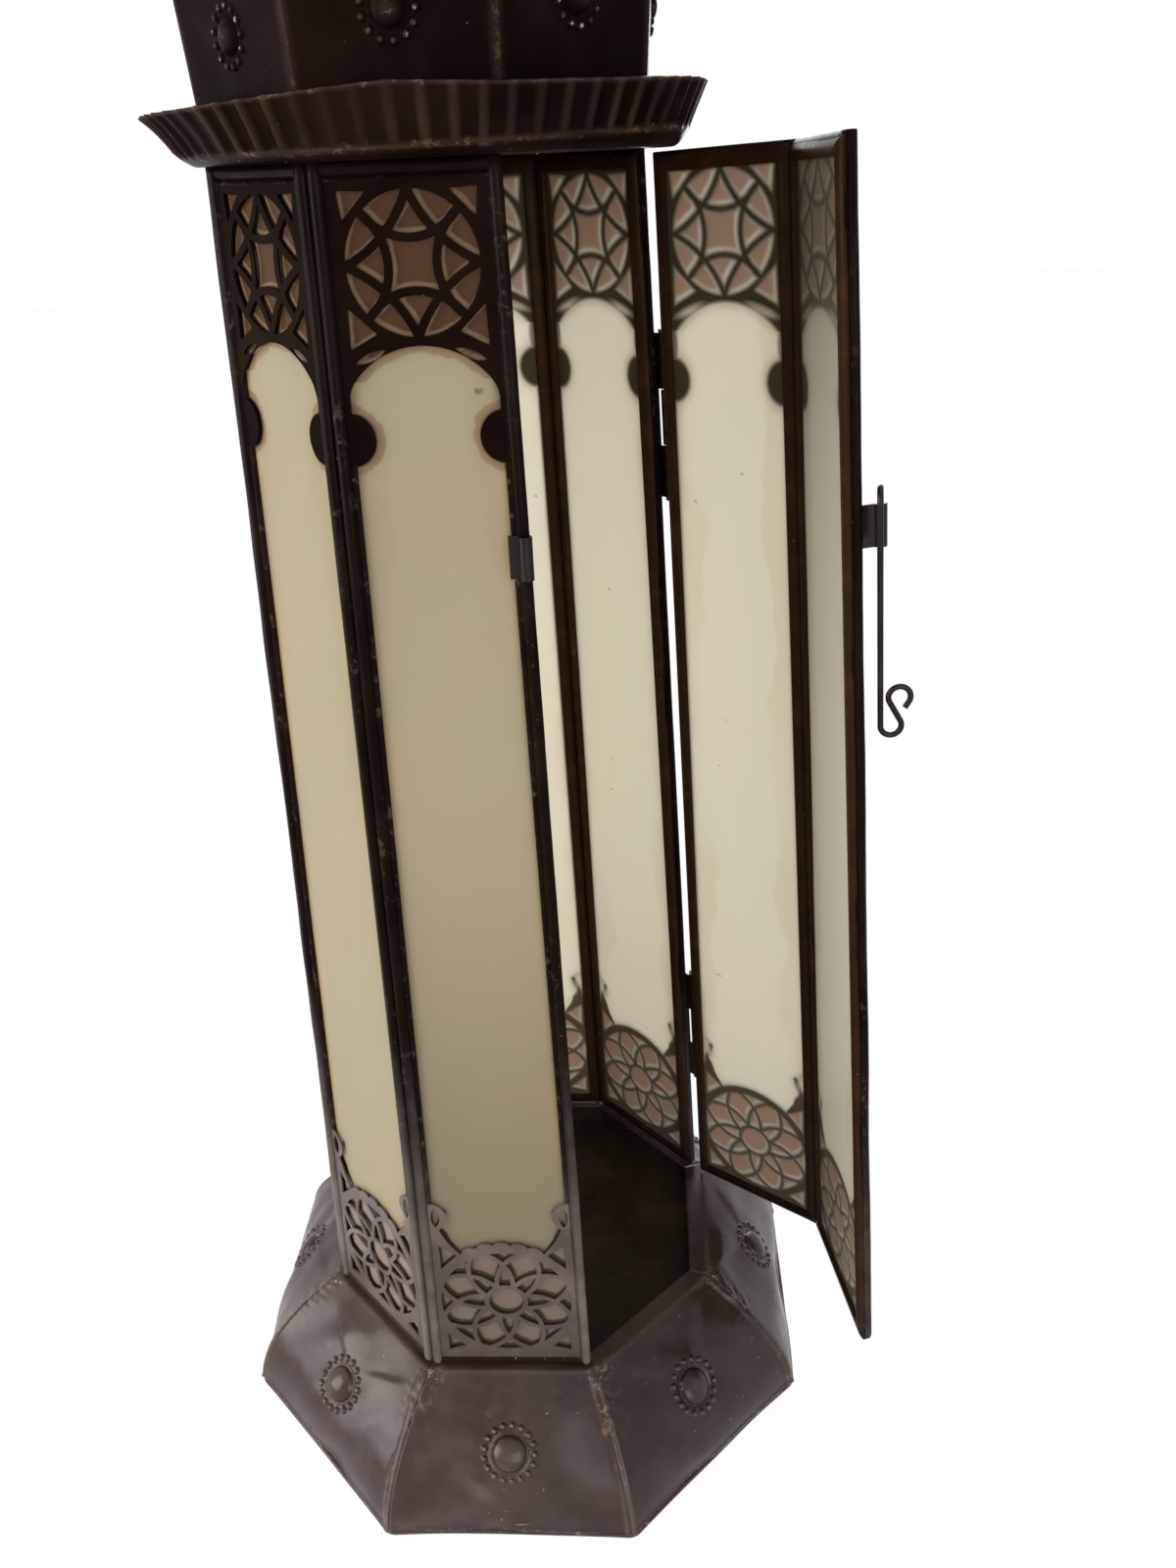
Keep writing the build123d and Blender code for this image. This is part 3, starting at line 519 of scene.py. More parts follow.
# Frets as the panes need them: how far a point lies inside the nearest opening, in millimetres, and less than nothing
# under a bar. Corner triangles and slots are in shares of the ring's radius, crossings as a share and a turn.
fretLook = {
    "bar": 2.6, "side": 2.2, "edge": 1, "archBand": 2.6, "archRise": 10.5, "archLedge": 2.2, "notch": 10,
    "lobe": 7.4, "lobeHeight": 17, "lobeFar": 8, "crossings": ((0.36, 0), (0.57, 45)),
    "topCorners": (((1.02, 1), (0.6, 0.98), (0.98, 0.6)), ((1.03, -0.56), (0.62, -0.94), (1.05, -1.16))),
    "slot": ((1, -1.36), (0.52, -1.17)),
    "footBar": 2.2, "footSide": 1.2, "footEdge": 4, "heart": 9, "petals": 8, "petalReach": 22.5,
    "petalSpread": 18, "crestBand": 4.6, "crestHalf": 33, "armRise": 15, "earHeight": 15,
    "earReach": 6.4, "earWall": 2.4,
    "footCorners": (((0.95, 1.14), (0.68, 0.95), (0.95, 0.68)), ((0.96, -0.68), (0.68, -0.94), (0.96, -1.02)))}


# Add mirrored triangular openings: the least distance to a triangle's three sides
def withCorners(opening, x, y, ring, triangles):
    for triangle in triangles:
        corners = ring * np.array(triangle)
        edges = np.roll(corners, -1, 0) - corners
        side = np.sign(edges[0, 0] * edges[1, 1] - edges[0, 1] * edges[1, 0])
        reach = [side * (e[0] * (y - c[1]) - e[1] * (np.abs(x) - c[0])) / np.hypot(*e) for c, e in zip(corners, edges)]
        opening = np.maximum(opening, np.minimum.reduce(reach))
    return opening


# Centre of the circle through three points, which are complex numbers
def circleCentre(a, b, c):
    w = (c - a) / (b - a)
    return (b - a) * (w - abs(w) ** 2) / (2j * w.imag) + a


# Where the top fret's ring and arch lie: ring radius, ring centre, arch crown and arch shoulder
def topFretPlan():
    windowHigh = slopeLength - lantern["rail"]
    ring = clearHalf(windowHigh) - fretLook["side"]
    centre = windowHigh - fretLook["edge"] - ring
    archCrown = centre - ring - fretLook["archBand"]
    return ring, centre, archCrown, archCrown - fretLook["archRise"]


# Top fret: a ring crossed by eight round bars, corner triangles, a slot each side, and the arch and its lobes below
def topOpenings(x, s):
    look = SimpleNamespace(**fretLook)
    ring, centre, archCrown, shoulder = topFretPlan()
    y = s - centre
    opening = ring - np.hypot(x, y)
    diagonal = ring * math.sqrt(0.5)
    for reach, offset in look.crossings:
        near = reach * ring
        radius = (ring ** 2 + near ** 2 - 2 * near * diagonal) / (2 * (diagonal - near))
        for quarter in range(4):
            bearing = math.radians(90 * quarter + offset)
            away = np.hypot(x - (near + radius) * math.cos(bearing), y - (near + radius) * math.sin(bearing))
            opening = np.minimum(opening, np.abs(away - radius) - look.bar / 2)
    opening = withCorners(opening, x, y, ring, look.topCorners)
    start, end = np.array(look.slot) * ring
    length = np.linalg.norm(end - start)
    along = (end - start) / length
    gap = np.stack([np.abs(x), y], -1) - (start + end) / 2
    across = np.hypot(gap @ along / (length / 2), gap @ np.array([-along[1], along[0]]) / (look.bar / 2))
    opening = np.maximum(opening, (1 - across) * look.bar / 2)
    ledge = clearHalf(shoulder) - look.archLedge
    radius = (ledge ** 2 + look.archRise ** 2) / (2 * look.archRise)
    arch = radius - np.hypot(x, s - archCrown + radius)
    lobeHalf = look.lobeHeight / 2
    lobeMiddle = shoulder - look.notch - lobeHalf
    lobe = np.hypot((np.abs(x) - clearHalf(s)) / look.lobe, (s - lobeMiddle) / lobeHalf) - 1
    below = np.where(s < shoulder, np.minimum(lobe * look.lobe, look.lobeFar), arch)
    return np.maximum(opening, below), below


# Foot fret: a flower of eight petals round a heart, corner triangles, and the crest with its arms and ears above
def footOpenings(x, s):
    look = SimpleNamespace(**fretLook)
    ring = clearHalf(lantern["rail"]) - look.footSide
    centre = lantern["rail"] + look.footEdge + ring
    y = s - centre
    r = np.hypot(x, y)
    halfBar = look.footBar / 2
    opening = np.minimum(ring - r, np.abs(r - look.heart) - halfBar)
    petal = 2 * math.pi / look.petals
    swing = (np.arctan2(y, x) + petal / 2) % petal - petal / 2
    spread = math.radians(look.petalSpread)
    bends = (look.heart, -petal / 2), (look.petalReach, 0), (ring + halfBar, spread)
    bends = [far * np.exp(1j * turn) for far, turn in bends]
    middle = circleCentre(*bends)
    for side in (-1, 1):
        away = np.abs(r * np.exp(1j * side * swing) - middle)
        bar = np.abs(away - abs(bends[0] - middle)) - halfBar
        opening = np.where(r > look.heart, np.minimum(opening, bar), opening)
    opening = withCorners(opening, x, y, ring, look.footCorners)
    crest = ring + look.crestBand
    crestHalf = math.radians(look.crestHalf)
    end, armFoot = crest * math.sin(crestHalf), crest * math.cos(crestHalf)
    run = clearHalf(s) - look.earWall - end
    arm = armFoot + look.armRise * share((np.abs(x) - end) / run)
    above = y - np.where(np.abs(x) < end, np.sqrt(np.clip(crest ** 2 - x ** 2, 0, None)), arm)
    rise = (y - armFoot - look.armRise) / look.earHeight
    ear = look.earReach * np.sqrt(share(1 - (2 * rise - 1) ** 2)) - clearHalf(s) + np.abs(x)
    pierced = np.minimum(np.maximum(-ear, ear - look.earWall), above)
    above = np.where((rise > 0) & (rise < 1), pierced, above)
    return np.maximum(opening, above), above


# Panes: bands are a height and its grid lines, shifts are how far the tinted film lies off the openings
paneLook = {
    "reach": 1.4, "footBand": (72, 76), "middleLines": 40, "headBand": (100, 104), "acrossLines": 71,
    "depth": -3, "wave": (0.05, 130, 150, 3), "sheet": 1, "topShift": (0.7, 0.8),
    "footShift": (0.7, 1.5), "neckShade": (1.8, 8), "fieldLimits": (-3, 6)}


# A slightly wavy sheet inside the frame's channel, with grid lines crowded behind the frets
def milkPane(k):
    look = SimpleNamespace(**paneLook)
    low, high = lantern["rail"] - look.reach, slopeLength - lantern["rail"] + look.reach
    (footBand, footLines), (headBand, headLines) = look.footBand, look.headBand
    s = np.concatenate([np.linspace(low, low + footBand, footLines),
                        np.linspace(low + footBand, high - headBand, look.middleLines)[1:-1],
                        np.linspace(high - headBand, high, headLines)])[:, None]
    u = np.linspace(-1, 1, look.acrossLines)[None, :]
    x = u * (clearHalf(s) + look.reach)
    s = s + 0 * x
    n = look.depth + swell(look.wave, k, s, x)
    upper = s > slopeLength / 2
    opening, beyond = (np.where(upper, top, foot) for top, foot in zip(topOpenings(x, s), footOpenings(x, s)))
    (topX, topS), (footX, footS) = look.topShift, look.footShift
    shifted = np.where(upper, topOpenings(x - topX, s - topS)[0], footOpenings(x - footX, s - footS)[0])
    # Distance in from the stile, cut deeper at the neck below the arch: where painted shade along the stiles falls on
    # the inner face
    neck = topFretPlan()[3] - fretLook["notch"] / 2
    edging = clearHalf(s) - np.abs(x) - hump(look.neckShade, s - neck)
    fields = {"opening": opening, "shifted": shifted, "beyond": beyond, "edging": edging}
    fields = {label: np.clip(field, *look.fieldLimits) for label, field in fields.items()}
    # Painted shade up the height of single panes: towards the bottom on the front pane, towards the top on the
    # front-right pane
    shadings = {film: np.interp(s / slopeLength, glass["shadingAt"], glass[film].get(k, glass["clean"]))
             for film in ("shadeBelow", "shadeAbove")}
    drawn = patch(onFace(facePoint(x, s, n), k), uv=(u + 0 * s, s / slopeLength), **fields, **shadings)
    piece = makePiece(f"{faceNames[k]}_pane", "milk", outerGlass, drawn, body=bodyOf(k), slot="milk_glass",
                      sheet=look.sheet)
    piece.modifiers["sheet"].material_offset = 1
    piece.data.materials.append(innerGlass)


for k in faces:
    columnFrame(k)
    milkPane(k)
print("column frames and panes made")

# What all rosettes share: the boss's roundness, the groove round it, and where painted highlights go on it and its
# beads
rosetteLook = {
    "roundness": 1.2, "groove": (-0.5, 0.8), "grooveGap": 0.7, "beadGlint": 1.2, "beadFade": 1.6,
    "bossGlint": 0.4, "bossFade": 2.4}


# A rosette's height over the sheet, a domed boss, a shallow groove and a ring of beads, and where painted highlights go
# on its tops
def rosette(x, y, look):
    shared, boss = rosetteLook, look.boss
    r = np.hypot(x, y)
    dome = look.bossHeight * np.sqrt(share(1 - (r / boss) ** 2)) ** shared["roundness"]
    groove = hump(shared["groove"], r - boss - shared["grooveGap"])
    turn = 2 * math.pi / look.beads
    swing = (np.arctan2(y, x) + turn / 2) % turn - turn / 2
    gap = np.hypot(r * np.cos(swing) - look.ring, r * np.sin(swing)) / look.beadRadius
    lift = dome + groove + look.beadHeight * np.sqrt(share(1 - gap ** 2))
    glint = share(shared["beadGlint"] - shared["beadFade"] * gap)
    return lift, glint + hump((shared["bossGlint"], boss), shared["bossFade"] * r)


# Grid lines crowd where the rosette is: even steps plus a dense band
def crowded(low, high, middle, band, coarse, fine):
    return np.unique(np.concatenate([np.linspace(low, high, coarse), np.linspace(middle - band, middle + band, fine)]))


# An arc through three points, as n points
def arcThrough(a, b, c, n):
    a, b, c = (complex(*p) for p in (a, b, c))
    centre = circleCentre(a, b, c)
    start, end = np.angle(a - centre), np.angle(c - centre)
    sweep = (end - start + math.pi) % (2 * math.pi) - math.pi
    arc = centre + abs(a - centre) * np.exp(1j * (start + sweep * np.linspace(0, 1, n)))
    return np.stack([arc.real, arc.imag], -1)


# How far along a profile each of its points lies
def runLength(profile):
    return np.concatenate([[0], np.cumsum(np.linalg.norm(np.diff(profile, axis=0), axis=1))])


# A panel's grid, crowded at its boss: distance v down the profile, share u and distance x across, apothem and height,
# and how fast these two change along v
def panelGrid(profile, bossAt, gridAlong, gridAcross):
    travel = runLength(profile)
    v = crowded(0, travel[-1], bossAt, *gridAlong)
    u = crowded(-1, 1, 0, *gridAcross)[None, :]
    apothem, z = (np.interp(v, travel, line) for line in profile.T)
    lines = v, apothem, z, np.gradient(apothem, v), np.gradient(z, v)
    v, apothem, z, slopeA, slopeZ = (line[:, None] for line in lines)
    return v, u, u * apothem * tanHalf, apothem, z, slopeA, slopeZ


# Base skirt: shelf edge and convex shoulder down to the hem, with a boss, a lapped hip seam, dents and a wavy hem.
# A grid is a dense band's reach and the coarse and fine lines.
skirt = {
    "ledge": 2, "bendReach": 30.3, "bendHeight": 32.5, "shoulder": 1.8, "shelf": 7.5, "shelfLines": 8,
    "arcLines": 40, "gridDown": (15, 80, 76), "gridAcross": (0.31, 70, 76), "sheet": 1.1,
    "bossDown": 35, "boss": 8, "bossHeight": 3.4, "ring": 11.9, "beads": 17, "beadRadius": 1.65,
    "beadHeight": 1.5, "seam": 3.6, "seamWander": (0.5, 300, 30, 4), "seamLap": (0.8, 0, 0.7),
    "hemBow": 2.2, "hemHalf": 57, "hemWaver": (0.25, 390, 90, 2), "hemRoll": (0.55, -2.2, 0.6),
    "dents": (0.85, 330, 62, 3), "hammered": (0.35, 360, 7, 3), "corner": (1, 0.72, 0.28), "cornerDown": 0.2,
    "cornerReach": 0.25, "skirtRate": 12, "dentRate": 4, "dentSide": 1.1,
    "crease": {"seed": 700, "side": (24, 34), "top": (6, 14), "end": (2, 9), "offBoss": (10, 13),
        "height": (0.5, 1), "step": 1.6, "width": 16, "fade": 0.45, "rate": 8},
    "hemWear": (0.75, -1.6, 1.2), "hipWear": (0.7, 1.1), "seamWear": (0.4, 0.7), "cornerWear": 0.3,
    "hipRub": (1, 0.8), "seamRub": (0.5, 0.5), "shelfRub": (0.35, 1.2), "glintRub": 0.45, "glintBare": 0.35,
    "bareCorner": (1, 0.74, 0.2), "bareLine": (1, 4), "bareDown": 3, "evenBare": 0.26,
    "patchyBare": (0.16, 370, 3, 4)}


# The skirt's section: a flat shelf, an arc over the shoulder, and an arc that goes on smoothly from it to the hem
def skirtProfile():
    top = np.array([footApothem + skirt["ledge"], lantern["baseHeight"]])
    bend = np.array([top[0] + skirt["bendReach"], skirt["bendHeight"]])
    along = (bend - top) / np.linalg.norm(bend - top)
    crest = (top + bend) / 2 + np.array([-along[1], along[0]]) * skirt["shoulder"]
    upper = arcThrough(top, crest, bend, skirt["arcLines"])
    tangent = upper[-1] - upper[-2]
    tangent = tangent / np.linalg.norm(tangent)
    hem = np.array([lantern["baseFlats"] / 2 - lantern["hemLip"], lantern["hemHeight"]])
    chord = hem - bend
    normal = np.array([-tangent[1], tangent[0]])
    radius = chord @ chord / (2 * chord @ normal)
    centre = bend + normal * radius
    towards = bend + chord / 2 - centre
    middle = centre + towards / np.linalg.norm(towards) * abs(radius)
    lower = arcThrough(bend, middle, hem, skirt["arcLines"])
    shelf = np.linspace([footApothem - skirt["shelf"], lantern["baseHeight"]], top, skirt["shelfLines"])
    return np.concatenate([shelf[:-1], upper[:-1], lower])


# The hem rises in the middle of each side and comes down to the ground at the corners
def hemBow(k, u):
    waver = swell(skirt["hemWaver"], k, skirt["hemHalf"] * u)
    return skirt["hemBow"] * np.clip(1 - u ** 2 + waver * (1 - u ** 4), 0, None)


# Creases from the hips towards the boss: a smooth step across each line, fading aside and to its ends
def pressedCreases(k, x, down):
    look, total = SimpleNamespace(**skirt["crease"]), 0
    for one, side in enumerate((1, -1)):
        rng = np.random.default_rng(look.seed + 10 * k + one)
        start = np.array([side * rng.uniform(*look.side), rng.uniform(*look.top)])
        end = np.array([side * rng.uniform(*look.end), skirt["bossDown"] - rng.uniform(*look.offBoss)])
        length = np.linalg.norm(end - start)
        along = (end - start) / length
        gapX, gapV = x - start[0], down - start[1]
        far = gapX * along[0] + gapV * along[1]
        off = gapX * along[1] - gapV * along[0]
        fade = np.exp(-((far - length / 2) / (look.fade * length)) ** 4)
        height = rng.uniform(*look.height)
        total = total + np.tanh(off / look.step) * hump((height, look.width), off) * fade
    return total


# The section carried across the face and raised along its normal by boss, seam, hem, dents, hammer marks and creases
def basePanel(k):
    look = SimpleNamespace(**skirt)
    profile = skirtProfile()
    travel = runLength(profile)
    shelfEnd, hemEnd = travel[look.shelfLines - 1], travel[-1]
    bossAt = shelfEnd + look.bossDown
    v, u, x, apothem, z, slopeA, slopeZ = panelGrid(profile, bossAt, look.gridDown, look.gridAcross)
    edge = apothem * tanHalf - x
    nearHip = np.minimum(edge, 2 * apothem * tanHalf - edge)
    down = (v - shelfEnd) / (hemEnd - shelfEnd)
    onSkirt = share(down * look.skirtRate)
    lift, glint = rosette(x, v - bossAt, look)
    lap = climb(look.seamLap, look.seam + swell(look.seamWander, k, v) - edge) * onSkirt
    dents = swell(look.dents, k, x, v) * share(down * look.dentRate) * share(look.dentSide - np.abs(u))
    corner = climb(look.corner, np.abs(u)) * share(1 - np.abs(down - look.cornerDown) / look.cornerReach)
    hammered = swell(look.hammered, k, x, v) * corner
    creases = pressedCreases(k, x, v - shelfEnd) * share(down * look.crease["rate"])
    lift = lift + lap + climb(look.hemRoll, v - hemEnd) + dents + hammered + creases
    bow = hemBow(k, u) * share(down) ** 4
    points = np.stack([x, -(apothem - slopeZ * lift), z + slopeA * lift + bow], -1)
    offSeam = edge - look.seam
    wear = (hump(look.hipWear, edge) + hump(look.seamWear, offSeam)) * onSkirt
    wear = wear + climb(look.hemWear, v - hemEnd) + look.cornerWear * corner
    # Pale rubbing along the hips, the seam and the shelf edge is partly wear and partly painted highlight; the rosette
    # glint is a painted highlight
    rub = (hump(look.hipRub, nearHip) + hump(look.seamRub, offSeam)) * onSkirt
    rub = rub + hump(look.shelfRub, v - shelfEnd) + look.glintRub * glint
    # Near-white patches at the upper corners are partly bare metal and partly painted glints of hammered metal, with
    # painted glints on the rosette
    bare = climb(look.bareCorner, np.abs(u)) * hump(look.bareLine, v - shelfEnd - look.bareDown)
    bare = bare * (look.evenBare + swell(look.patchyBare, 0, k, u)) + look.glintBare * glint ** 2
    pressed = patch(onFace(points * mm, k, False), flip=True, wear=share(wear), bare=share(bare), rub=share(rub))
    makePiece(f"{faceNames[k]}_base_panel", "pressed", basePaint, pressed, sheet=look.sheet)


# Hem strip: its section's points and squareness, lines along a side and round a corner, and its finish
hemLook = {
    "sides": 14, "squareness": 0.6, "sideLines": 40, "cornerLines": 9, "wear": 0.25,
    "cornerWear": (0.6, 3), "inside": 0.35}


# A rounded bar carried round the octagon's outline, straight runs joined by arcs
def hemRing():
    look = SimpleNamespace(**hemLook)
    apothem, corner = lantern["baseFlats"] / 2, lantern["hemCorner"]
    t = np.linspace(0, 2 * math.pi, look.sides, endpoint=False)
    across, upright = (np.sign(wave) * np.abs(wave) ** look.squareness for wave in (np.cos(t), np.sin(t)))
    inward, z = lantern["hemWidth"] / 2 * (1 - across), lantern["hemHeight"] / 2 * (1 + upright)
    half, fullHalf = (apothem - corner) * tanHalf, apothem * tanHalf
    x = np.linspace(-half, half, look.sideLines)[:, None]
    swing = np.radians(np.linspace(-90, faceTurn - 90, look.cornerLines)[1:-1])[:, None]
    arcX, arcY = half + (corner - inward) * np.cos(swing), corner - apothem + (corner - inward) * np.sin(swing)
    runs = []
    for k in faces:
        side = np.stack(np.broadcast_arrays(x, inward - apothem, z + hemBow(k, x / fullHalf)), -1)
        arc = np.stack(np.broadcast_arrays(arcX, arcY, z + hemBow(k, np.array(half / fullHalf))), -1)
        runs.append(onFace(np.concatenate([side, arc]) * mm, k, False))
    path = np.concatenate(runs)
    bearing = np.degrees(np.arctan2(path[..., 1], path[..., 0]))
    offMiddle = np.abs((bearing + faceTurn / 2) % faceTurn - faceTurn / 2)
    wear = look.wear + hump(look.cornerWear, offMiddle - faceTurn / 2)
    rolled = patch(path, closeRows=True, closeColumns=True, wear=wear, inside=look.inside)
    makePiece("base_hem_ring", "rolled", basePaint, rolled)


for k in faces:
    basePanel(k)
hemRing()
print("base panels and hem made")

# Crown: flat walls leaning out, a shoulder turned in, and a small rosette on each panel
crown = {
    "footFlats": 146, "flats": 154, "wall": 70, "wallLines": 60, "turnIn": 8, "turnHeight": 7,
    "turnLines": 14, "foot": 1.25, "gridUp": (11.5, 60, 60), "gridAcross": (0.37, 44, 60), "sheet": 0.9,
    "bossUp": 37.2, "bossTilt": 4.5, "boss": 5.2, "bossHeight": 2.6, "ring": 8.1, "beads": 13,
    "beadRadius": 1.3, "beadHeight": 1.25, "dents": (0.4, 430, 60, 3), "edgeWear": (0.2, 0.8),
    "edgeRub": (0.2, 1.6), "glintRub": 0.4, "glintBare": 1.5}


# The wall and its shoulder carried across the face, and raised along the normal by the boss and slow dents
def crownPanel(k):
    look = SimpleNamespace(**crown)
    foot = columnTop + look.foot
    wall = np.linspace([look.footFlats / 2, foot], [look.flats / 2, foot + look.wall], look.wallLines)
    t = np.linspace(0, math.pi / 2, look.turnLines)[1:]
    turn = wall[-1] + np.stack([look.turnIn * (np.cos(t) - 1), look.turnHeight * np.sin(t)], -1)
    profile = np.concatenate([wall, turn])
    bossUp = look.bossUp + look.bossTilt * math.cos(math.radians(faceTurn * k - 90))
    v, u, x, apothem, z, slopeA, slopeZ = panelGrid(profile, bossUp, look.gridUp, look.gridAcross)
    edge = apothem * tanHalf - np.abs(x)
    lift, glint = rosette(x, v - bossUp, look)
    lift = lift + swell(look.dents, k, x, v) * (1 - u ** 2)
    points = np.stack([x, -(apothem + slopeZ * lift), z - slopeA * lift], -1)
    # The edges are rubbed pale, and the glint puts painted highlights on the boss and beads, near white on their tops
    rub = hump(look.edgeRub, edge) + look.glintRub * glint
    pressed = patch(onFace(points * mm, k, False), wear=hump(look.edgeWear, edge),
                    bare=share(look.glintBare * glint ** 2), rub=share(rub))
    makePiece(f"{faceNames[k]}_crown_panel", "pressed", shadedCrownPaint, pressed, sheet=look.sheet)


for k in faces:
    crownPanel(k)
print("crown panels made")

# Tray: floor, rounded foot and a fluted wall, bent out of true: its rim height follows the bearing, and it flares on
# the left. Swells go round it as if it were 30 mm in radius.
trayLook = {
    "vent": 48, "floor": 82, "foot": 88, "turn": 5, "turnPower": 2.2, "rim": 94, "depth": 19.5,
    "floorLines": 16, "turnLines": 10, "wallLines": 22, "lift": 0.1, "sheet": 0.9,
    "bearing": (-180, -135, -110, -90, -70, -45, -20, 60, 120),
    "rimUp": (14.6, 15.3, 17.4, 19.4, 18.1, 18.4, 19.5, 19, 16.5),
    "ridgeUp": (2.4, 2.4, 2.6, 2.9, 3.6, 4.8, 5.4, 5, 3.2), "ridgeStart": (1, 0, 1.6), "swellRadius": 30,
    "flutes": 64, "fluteLines": 14, "fluteWander": (0.5, 500, 40, 4), "fluteSharp": 0.15, "fluteDepth": 1.5,
    "fluteEven": 0.75, "fluteVary": (0.3, 501, 25, 4), "fluteLeft": 0.9, "lip": (0.7, 0.8), "flare": 3.2,
    "flarePower": 1.5, "flareVary": (0.5, 502, 50, 3), "rimWear": (0.35, 0.94, 0.05), "ridgeWear": (0.28, 0.9),
    "fluteRub": 0.13, "fluteRubVary": (0.07, 503, 18, 4), "ridgeRub": (0.25, 0.7), "rimRub": (0.3, 0.95, 0.04)}


# The section turned about the axis, its height scaled to the rim at each bearing and its radius waved by the flutes
def flutedTray():
    look = SimpleNamespace(**trayLook)
    theta = np.linspace(-math.pi, math.pi, look.flutes * look.fluteLines, endpoint=False)[:, None]
    wander, depthVary, flareVary, rubVary = (swell(trayLook[key], 0, theta * look.swellRadius) for key in (
        "fluteWander", "fluteVary", "flareVary", "fluteRubVary"))
    rim, ridge = (np.interp(np.degrees(theta), look.bearing, trayLook[key], period=360) for key in ("rimUp", "ridgeUp"))
    floorRun = np.linspace([look.vent, 0], [look.floor, 0], look.floorLines)
    bend = np.linspace(0, 1, look.turnLines)[1:, None]
    turn = np.hstack([bend * (look.foot - look.floor), look.turn * bend ** look.turnPower]) + floorRun[-1]
    wall = np.linspace(turn[-1], [look.rim, look.depth], look.wallLines)[1:]
    r, h = np.concatenate([floorRun, turn, wall]).T[:, None, :]
    rise = h / look.depth
    height = h * (1 + rise * (rim / look.depth - 1))
    overRidge = height - ridge
    up = climb(look.ridgeStart, overRidge)
    left = share(-np.cos(theta)) ** 2
    phase = look.flutes * theta + wander
    flute = np.cos(phase) + look.fluteSharp * np.cos(2 * phase)
    depth = look.fluteDepth * (look.fluteEven + depthVary + look.fluteLeft * left) * up
    flare = rise ** look.flarePower * (look.flare * left + flareVary)
    radius = r + 0.5 * depth * flute + hump(look.lip, overRidge) + flare
    z = columnTop + look.lift + height
    points = np.stack(np.broadcast_arrays(radius * np.cos(theta), radius * np.sin(theta), z), -1)
    wear = climb(look.rimWear, rise) + hump(look.ridgeWear, overRidge)
    rub = (look.fluteRub + rubVary) * up * share(flute)
    rub = rub + hump(look.ridgeRub, overRidge) + climb(look.rimRub, rise)
    fluted = patch(points * mm, closeRows=True, flip=True, wear=wear, rub=share(rub))
    piece = makePiece("tray", "fluted", shadedCrownPaint, fluted, sheet=look.sheet)
    piece.data.materials.append(smokedTin)
    onFloor = np.tile(r[0, 1:] <= look.floor, len(theta))
    piece.data.polygons.foreach_set("material_index", onFloor.astype(np.int32))


flutedTray()
print("tray made")

# Solids whose shape is right keep it and get their finish here
kept = {
    "_top_fret": shadedTopFretPaint, "_foot_fret": footFretPaint, "floor_pan": floorPaint, "_hinge_": agedSteel,
    "latch_": agedSteel}
for name, piece in nodes.items():
    for key, material in kept.items():
        if key in name:
            piece.data.materials.clear()
            piece.data.materials.append(material)
print("solids painted")

# Studio: a pale table, a white surround and soft lamps aimed at the middle of the lantern
studio = {
    "table": (0.86, 0.85, 0.82), "tableRough": 0.6, "tableDrop": -0.0004, "reach": 6, "tableWhite": 0.965,
    "surround": 0.42, "surroundColour": (1, 0.97, 0.93), "white": (1, 1, 1), "aim": (0, 0, 0.3)}
lamps = {
    "window": {"at": (-1.55, -0.65, 0.75), "size": 1.3, "power": 32, "colour": (1, 0.97, 0.93)},
    "fill": {"at": (0.7, -1.75, 0.75), "size": 1.2, "power": 17, "colour": (1, 0.96, 0.92)},
    "back": {"at": (0.1, 1.9, 0.8), "size": 1.4, "power": 24, "colour": (1, 0.98, 0.95)}}


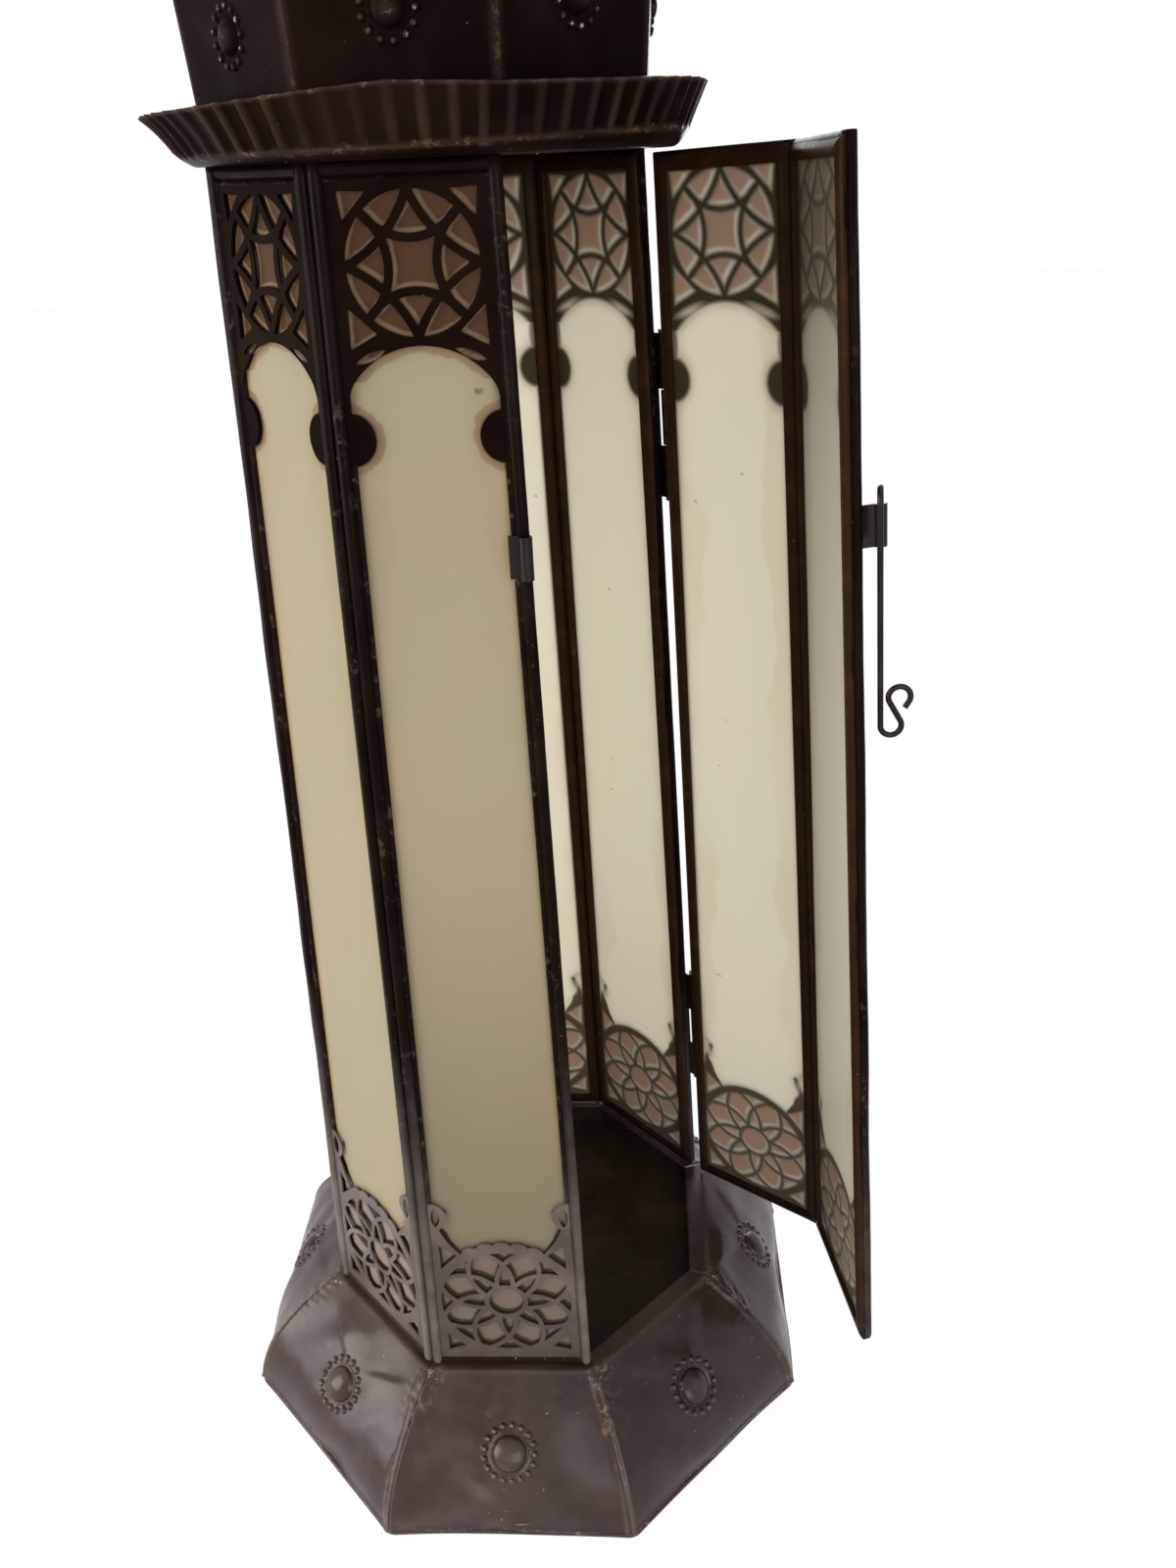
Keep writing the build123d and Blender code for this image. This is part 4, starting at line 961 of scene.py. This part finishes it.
# One square just under the foot, nearly white where it is seen, and shaded where the object stands
def studioFloor():
    corners = [(x * studio["reach"], y * studio["reach"], studio["tableDrop"])
               for x, y in ((-1, -1), (1, -1), (1, 1), (-1, 1))]
    mesh = bpy.data.meshes.new("table")
    mesh.from_pydata(corners, [], [(0, 1, 2, 3)])
    m = Nodes(bpy.data.materials.new("pale_table"))
    m.set(Base_Color=studio["table"], Roughness=studio["tableRough"])
    glow = m.add("Emission", {"Color": studio["white"]})
    m.blend(m.times(m.seen(), studio["tableWhite"]), m.shader, glow)
    mesh.materials.append(m.owner)
    addObject("table", mesh)


# White where it is seen, and a softer light on the object
def studioWorld():
    world = bpy.data.worlds.new("white_surround")
    bpy.context.scene.world = world
    m = Nodes(world)
    m.set(Color=studio["surroundColour"], Strength=studio["surround"])
    m.blend(m.seen(), m.shader, m.add("Background", {"Color": studio["white"]}))


# Each lamp's own axis is turned along the line to the aim
def studioLamps():
    for name, lamp in lamps.items():
        light = bpy.data.lights.new(name, "AREA")
        light.size = lamp["size"]
        light.energy = lamp["power"]
        light.color = lamp["colour"]
        holder = addObject(name, light)
        holder.location = lamp["at"]
        holder.rotation_euler = (Vector(studio["aim"]) - Vector(lamp["at"])).to_track_quat("-Z", "Y").to_euler()


# Where the photograph was taken from: metres, degrees, and millimetres for the lens
viewpoint = {
    "at": (0.07095, -0.48697, 0.56879), "pitch": -26.9776, "heading": -3.2656, "roll": -2.5495,
    "lens": 28.2965, "sensor": 36, "near": 0.01}


# The line of sight comes from heading and pitch, and the camera's right from a level line turned by the roll
def viewCamera():
    data = bpy.data.cameras.new("viewpoint")
    data.sensor_fit = "VERTICAL"
    data.sensor_height = viewpoint["sensor"]
    data.lens = viewpoint["lens"]
    data.clip_start = viewpoint["near"]
    camera = addObject("viewpoint", data)
    pitch, heading, roll = (math.radians(viewpoint[key]) for key in ("pitch", "heading", "roll"))
    forward = Vector((math.sin(heading) * math.cos(pitch), math.cos(heading) * math.cos(pitch), math.sin(pitch)))
    level = forward.cross(Vector((0, 0, 1))).normalized()
    right = level * math.cos(roll) + level.cross(forward) * math.sin(roll)
    up = right.cross(forward)
    camera.matrix_world = Matrix.Translation(viewpoint["at"]) @ Matrix((right, up, -forward)).transposed().to_4x4()
    bpy.context.scene.camera = camera


studioFloor()
studioWorld()
studioLamps()
viewCamera()
bpy.context.scene.view_settings.view_transform = "Standard"
print("studio set")
